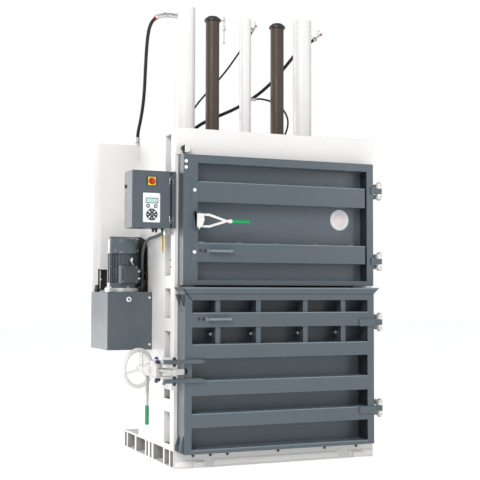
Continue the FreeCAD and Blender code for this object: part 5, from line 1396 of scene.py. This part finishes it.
class BALER_OT_interlock(bpy.types.Operator):
    """Door switch: a white block with a round black actuator and its two screws"""

    bl_idname = "baler.interlock"
    bl_label = "Door switch"

    def execute(self, context):
        start, end = low("interlock_switch"), high("interlock_switch")
        near, far = (start.x + 0.020, start.y + 0.004, start.z), (end.x, end.y, end.z - 0.004)
        block = add_block("door_switch", near, far)
        stepped(block, FORWARD, ("slope", 0.004, 0.003), ("wall", 0.006, -0.002))
        fasten(rounded(block, 0.0015), "frame", "bolt_white")
        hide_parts("interlock_switch")
        spot = Vector((start.x + 0.019, (start.y + end.y) / 2 - 0.004, end.z - 0.020))
        near, far = spot + FORWARD * 0.014, spot + BACKWARD * 0.016
        wheel = add_rod("switch_actuator", near, far, 0.0185, 40)
        stepped(wheel, FORWARD, ("wall", 0.005, -0.004), ("wall", 0.003, 0.003))
        rounded(wheel, 0.0012)
        near, far = Vector((-0.0075, -0.009, -0.036)), Vector((0.0075, 0.010, -0.008))
        arm = add_block("switch_arm", spot + near, spot + far)
        wheel = joined("switch_actuator", [wheel, rounded(arm, 0.002)])
        fasten(wheel, "frame", "black_plastic")
        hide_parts("interlock_switch")
        spots = [(end.x - 0.010, start.y + 0.003, z) for z in (start.z + 0.010, end.z - 0.014)]
        place("switch_screws", socket_screw(0.0035, 0.003), FORWARD, spots, "frame", "zinc")
        return {"FINISHED"}


# ---------------- hinges

HINGE_HEIGHTS = (0.348, 0.952, 1.380, 1.880)
# from a hinge's middle to its pin's caps and to its grease nipples
CAP_REACH = 0.061
NIPPLE_REACH = 0.041


class BALER_OT_hinges(bpy.types.Operator):
    """Round pin caps and grease nipples of the four hinges"""

    bl_idname = "baler.hinges"
    bl_label = "Hinges"

    def execute(self, context):
        x, y = middle("hinge_pins").x, middle("hinge_pins").y
        caps = []
        nipples = []
        for height in HINGE_HEIGHTS:
            for way, side in ((UP, 1), (DOWN, -1)):
                caps.append(((x, y, height + side * CAP_REACH), way))
                nipples.append(((x, y - 0.0195, height + side * NIPPLE_REACH), FORWARD))
        cap = add_rod("cap_master", (0, 0, -0.001), (0, 0, 0.002), 0.0125, 32)
        stepped(cap, UP, ("slope", 0.003, 0.0022), ("slope", 0.004, 0.0012))
        fasten(spread("hinge_pin_caps", rounded(cap, 0.0005), caps), "frame", "zinc")
        nipple = add_rod("nipple_master", (0, 0, 0), (0, 0, 0.004), 0.0045, 6)
        tip = add_rod("nipple_tip", (0, 0, 0.004), (0, 0, 0.0085), 0.0025, 16)
        nipple = joined("nipple_master", [rounded(nipple, 0.0003), rounded(tip, 0.0008)])
        fasten(spread("grease_nipples", nipple, nipples), "frame", "zinc")
        return {"FINISHED"}


# ---------------- lower door

LOWER_RAIL_TOPS = (0.141, 0.373, 0.586, 0.821, 1.027)


class BALER_OT_lower_door(bpy.types.Operator):
    """Corner gussets, painted highlight rods, painted shadow strips at the lip, and folded edge of
    the lower door
    """

    bl_idname = "baler.lower_door"
    bl_label = "Lower door fittings"

    def execute(self, context):
        gussets = []
        for outline in (
            ((-0.7255, 1.148), (-0.7535, 1.148), (-0.7255, 1.062)),
            ((-0.7255, 0.240), (-0.7535, 0.158), (-0.7535, 0.128), (-0.7255, 0.116)),
        ):
            for front in (-0.128, -0.040):
                plate = flat_plate("gusset", [(x, front, z) for x, z in outline], (0, 0.012, 0))
                gussets.append(rounded(plate, 0.0015))
        fasten(joined("door_gussets", gussets), "lower_door", "door_paint")
        # rods in paint lighter than the door's along the lip's top edge and under the rails' tops:
        # painted highlights
        highlight_rods = [pin("highlight_rod", (-0.750, -0.1675, 1.1885), (0.695, -0.1675, 1.1885), 0.005, 20, 0.001)]
        highlight_rods += highlight_rods_along(LOWER_RAIL_TOPS, -0.673, 0.627, -0.1403)
        fasten(joined("lower_highlight_rods", highlight_rods), "lower_door", "handle_paint")
        # thin black rods along the lip's left end and the gusset's front edge: painted shadow lines
        strips = []
        for run in (
            ((-0.747, -0.1715, 1.184), (-0.713, -0.1445, 1.150), (-0.682, -0.1433, 1.112)),
            ((-0.7535, -0.130, 1.144), (-0.7275, -0.130, 1.066)),
        ):
            for start, end in zip(run, run[1:]):
                strips.append(pin("strip", start, end, 0.0026, 12, 0.0006))
        fasten(joined("lip_shadow_strips", strips), "lower_door", "hose_rubber")
        folded_edge("lower_fold", "lower_door", -0.1317, 0.1135, 1.148)
        return {"FINISHED"}


# ---------------- lock of the lower door

# height of each arm of the lock above or below the middle of both
ARM_OFFSET = 0.061


class BALER_OT_lock(bpy.types.Operator):
    """Bolts and nuts of the lower door's lock, and a black disc on the door's face"""

    bl_idname = "baler.lock"
    bl_label = "Door lock"

    def execute(self, context):
        x, y = middle("lock_bolts").x, middle("lock_bolts").y
        spots = [((x, y, high("lock_bolts").z), UP), ((x, y, low("lock_bolts").z), DOWN)]
        fasten(spread("lock_pin_nuts", stud_nut(0.012, 0.011), spots), "frame", "deep_blue")
        start, end = low("lock_bracket"), high("lock_bracket")
        spots = [(-0.7575, y, z) for z in (start.z + 0.03, end.z - 0.03) for y in (0.175, 0.145)]
        bolt = hex_bolt(context.scene.baler_sizes.frame_bolt, 0.009)
        place("lock_bracket_bolts", bolt, LEFTWARD, spots, "frame", "deep_blue")
        spots = [(x, start.y + 0.001, z) for z in (0.703, 0.588) for x in (-0.866, -0.851)]
        place("lock_lug_bolts", hex_bolt(0.008, 0.009), FORWARD, spots, "frame", "deep_blue")
        level = (low("lock_arms").z + high("lock_arms").z) / 2
        spots = []
        for arm in (level + ARM_OFFSET, level - ARM_OFFSET):
            spots.append(((-0.8, -0.153, arm + 0.014), UP))
            spots.append(((-0.8, -0.153, arm - 0.014), DOWN))
        nuts = spread("lock_arm_nuts", stud_nut(0.011, 0.013), spots)
        fasten(nuts, "lower_door", "black_plastic")
        # a black disc on the door's left edge at the lock's level
        start, end = (-0.728, LOWER_FACE, level), (-0.728, LOWER_FACE - 0.009, level)
        black_disc = add_rod("lock_black_disc", start, end, 0.021, 40)
        stepped(black_disc, FORWARD, ("wall", 0.006, -0.004))
        fasten(rounded(black_disc, 0.0015), "lower_door", "hose_rubber")
        return {"FINISHED"}


# ---------------- base

class BALER_OT_base(bpy.types.Operator):
    """Bolts and raised strips on the front of the base"""

    bl_idname = "baler.base"
    bl_label = "Base"

    def execute(self, context):
        spots = [(x, -0.0005, 0.082) for x in (-0.613, -0.490, -0.368, 0.007, 0.364, 0.614)]
        place("base_bolts", button_bolt(0.008, 0.007), FORWARD, spots, "frame", "dark_steel")
        strips = []
        for start, end in ((-0.742, -0.552), (-0.470, 0.470), (0.552, 0.742)):
            strip = add_block("base_strip", (start, -0.0035, 0.014), (end, -0.0005, 0.052))
            stepped(strip, FORWARD, ("wall", 0.004, 0.001))
            strips.append(rounded(strip, 0.0008))
        fasten(joined("base_strips", strips), "frame", "base_paint")
        return {"FINISHED"}


# ---------------- broken edges

WELD_DISTANCE = 0.00005
# degrees between faces that count as one flat face, and from which an edge is broken
FLAT_ANGLE = 0.5
SHARP_ANGLE = 40
# width of the bevel on each node, as a share of the broken edge's width
SOFT_EDGES = {
    "upper_door": 0.35, "lower_door": 1.3, "motor_cowl": 2.0, "front_header": 1.0,
    "cabinet_shell": 0.6, "cabinet_door": 0.8, "oil_tank": 1.2, "left_side_frame": 1.0,
    "right_side_frame": 1.0, "base_frame": 0.8, "rear_cover": 0.5, "lock_arms": 1.0,
    "latch_lever": 0.8, "lock_housing": 1.0, "lock_bracket": 0.8, "terminal_box": 1.0,
    "cylinder_barrels": 0.8, "middle_cylinder": 0.8, "guide_caps": 0.6, "release_lever": 0.6,
    "hinge_brackets": 0.5, "pump_flange": 0.8, "switch_plate": 0.4, "round_sign": 0.3,
    "control_panel": 0.3,
}


class BALER_OT_edges(bpy.types.Operator):
    """Break the sharp edges of the frame's own parts, so that they catch the light"""

    bl_idname = "baler.edges"
    bl_label = "Broken edges"

    def execute(self, context):
        width = context.scene.baler_sizes.edge
        for node, share in SOFT_EDGES.items():
            item = NODES[node]
            weld = item.modifiers.new("weld", "WELD")
            weld.merge_threshold = WELD_DISTANCE
            flat = item.modifiers.new("flat_faces", "DECIMATE")
            flat.decimate_type = "DISSOLVE"
            flat.angle_limit = math.radians(FLAT_ANGLE)
            bevel = item.modifiers.new("broken_edges", "BEVEL")
            bevel.width = width * share
            bevel.segments = 2
            bevel.limit_method = "ANGLE"
            bevel.angle_limit = math.radians(SHARP_ANGLE)
            even = item.modifiers.new("even_shading", "WEIGHTED_NORMAL")
            even.weight = 100
        return {"FINISHED"}


# ---------------- stroke rod

class BALER_OT_stroke_rod(bpy.types.Operator):
    """Thin rod that hangs from the left guide tube's cap and shows how far the ram is down"""

    bl_idname = "baler.stroke_rod"
    bl_label = "Stroke rod"

    def execute(self, context):
        x, y = -0.171, middle("guide_caps").y
        top = high("guide_caps").z
        near, far = (-0.206, y - 0.009, top - 0.0235), (x + 0.012, y + 0.009, top - 0.0165)
        parts = [
            pin("stroke_rod", (x, y, 2.996), (x, y, top + 0.008), 0.0048, 20, 0.001),
            rounded(add_block("stroke_arm", near, far), 0.001),
        ]
        sleeves = ((3.108, 0.011, 0.018), (3.060, 0.007, 0.010), (2.999, 0.009, 0.004))
        for z, radius, half in sleeves:
            start, end = (x, y, z - half), (x, y, z + half)
            parts.append(pin("stroke_sleeve", start, end, radius, 24, 0.0015))
        for offset in (-0.005, 0.013):
            z = top - 0.02 + offset
            parts.append(pin("stroke_nut", (x, y, z - 0.004), (x, y, z + 0.004), 0.0095, 6, 0.0006))
        fasten(joined("stroke_rod", parts), "ram", "zinc")
        return {"FINISHED"}


PIECES = [
    BALER_OT_finishes,
    BALER_OT_stage,
    BALER_OT_hoses,
    BALER_OT_ports,
    BALER_OT_upper_door,
    BALER_OT_lower_door,
    BALER_OT_latch,
    BALER_OT_lock,
    BALER_OT_cabinet,
    BALER_OT_power_pack,
    BALER_OT_rear_cover,
    BALER_OT_interlock,
    BALER_OT_hinges,
    BALER_OT_base,
    BALER_OT_stroke_rod,
    BALER_OT_edges,
]


class BALER_PT_panel(bpy.types.Panel):
    """Lists the baler's settings and pieces"""

    bl_label = "Baler"
    bl_idname = "BALER_PT_panel"
    bl_space_type = "VIEW_3D"
    bl_region_type = "UI"
    bl_category = "Baler"

    def draw(self, context):
        for group in (
            context.scene.baler_colours, context.scene.baler_sizes, context.scene.baler_stage
        ):
            for name in group.bl_rna.properties.keys():
                if name not in ("rna_type", "name"):
                    self.layout.prop(group, name)
        for piece in PIECES:
            self.layout.operator(piece.bl_idname)


CLASSES = [BalerColours, BalerSizes, BalerStage, *PIECES, BALER_PT_panel]


def register():
    for entry in CLASSES:
        bpy.utils.register_class(entry)
    bpy.types.Scene.baler_colours = PointerProperty(type=BalerColours)
    bpy.types.Scene.baler_sizes = PointerProperty(type=BalerSizes)
    bpy.types.Scene.baler_stage = PointerProperty(type=BalerStage)


def unregister():
    del bpy.types.Scene.baler_stage
    del bpy.types.Scene.baler_sizes
    del bpy.types.Scene.baler_colours
    for entry in reversed(CLASSES):
        bpy.utils.unregister_class(entry)


def main():
    """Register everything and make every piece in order."""
    register()
    for piece in PIECES:
        group, name = piece.bl_idname.split(".")
        getattr(getattr(bpy.ops, group), name)()
    clear_selection()


if __name__ == "__main__":
    main()
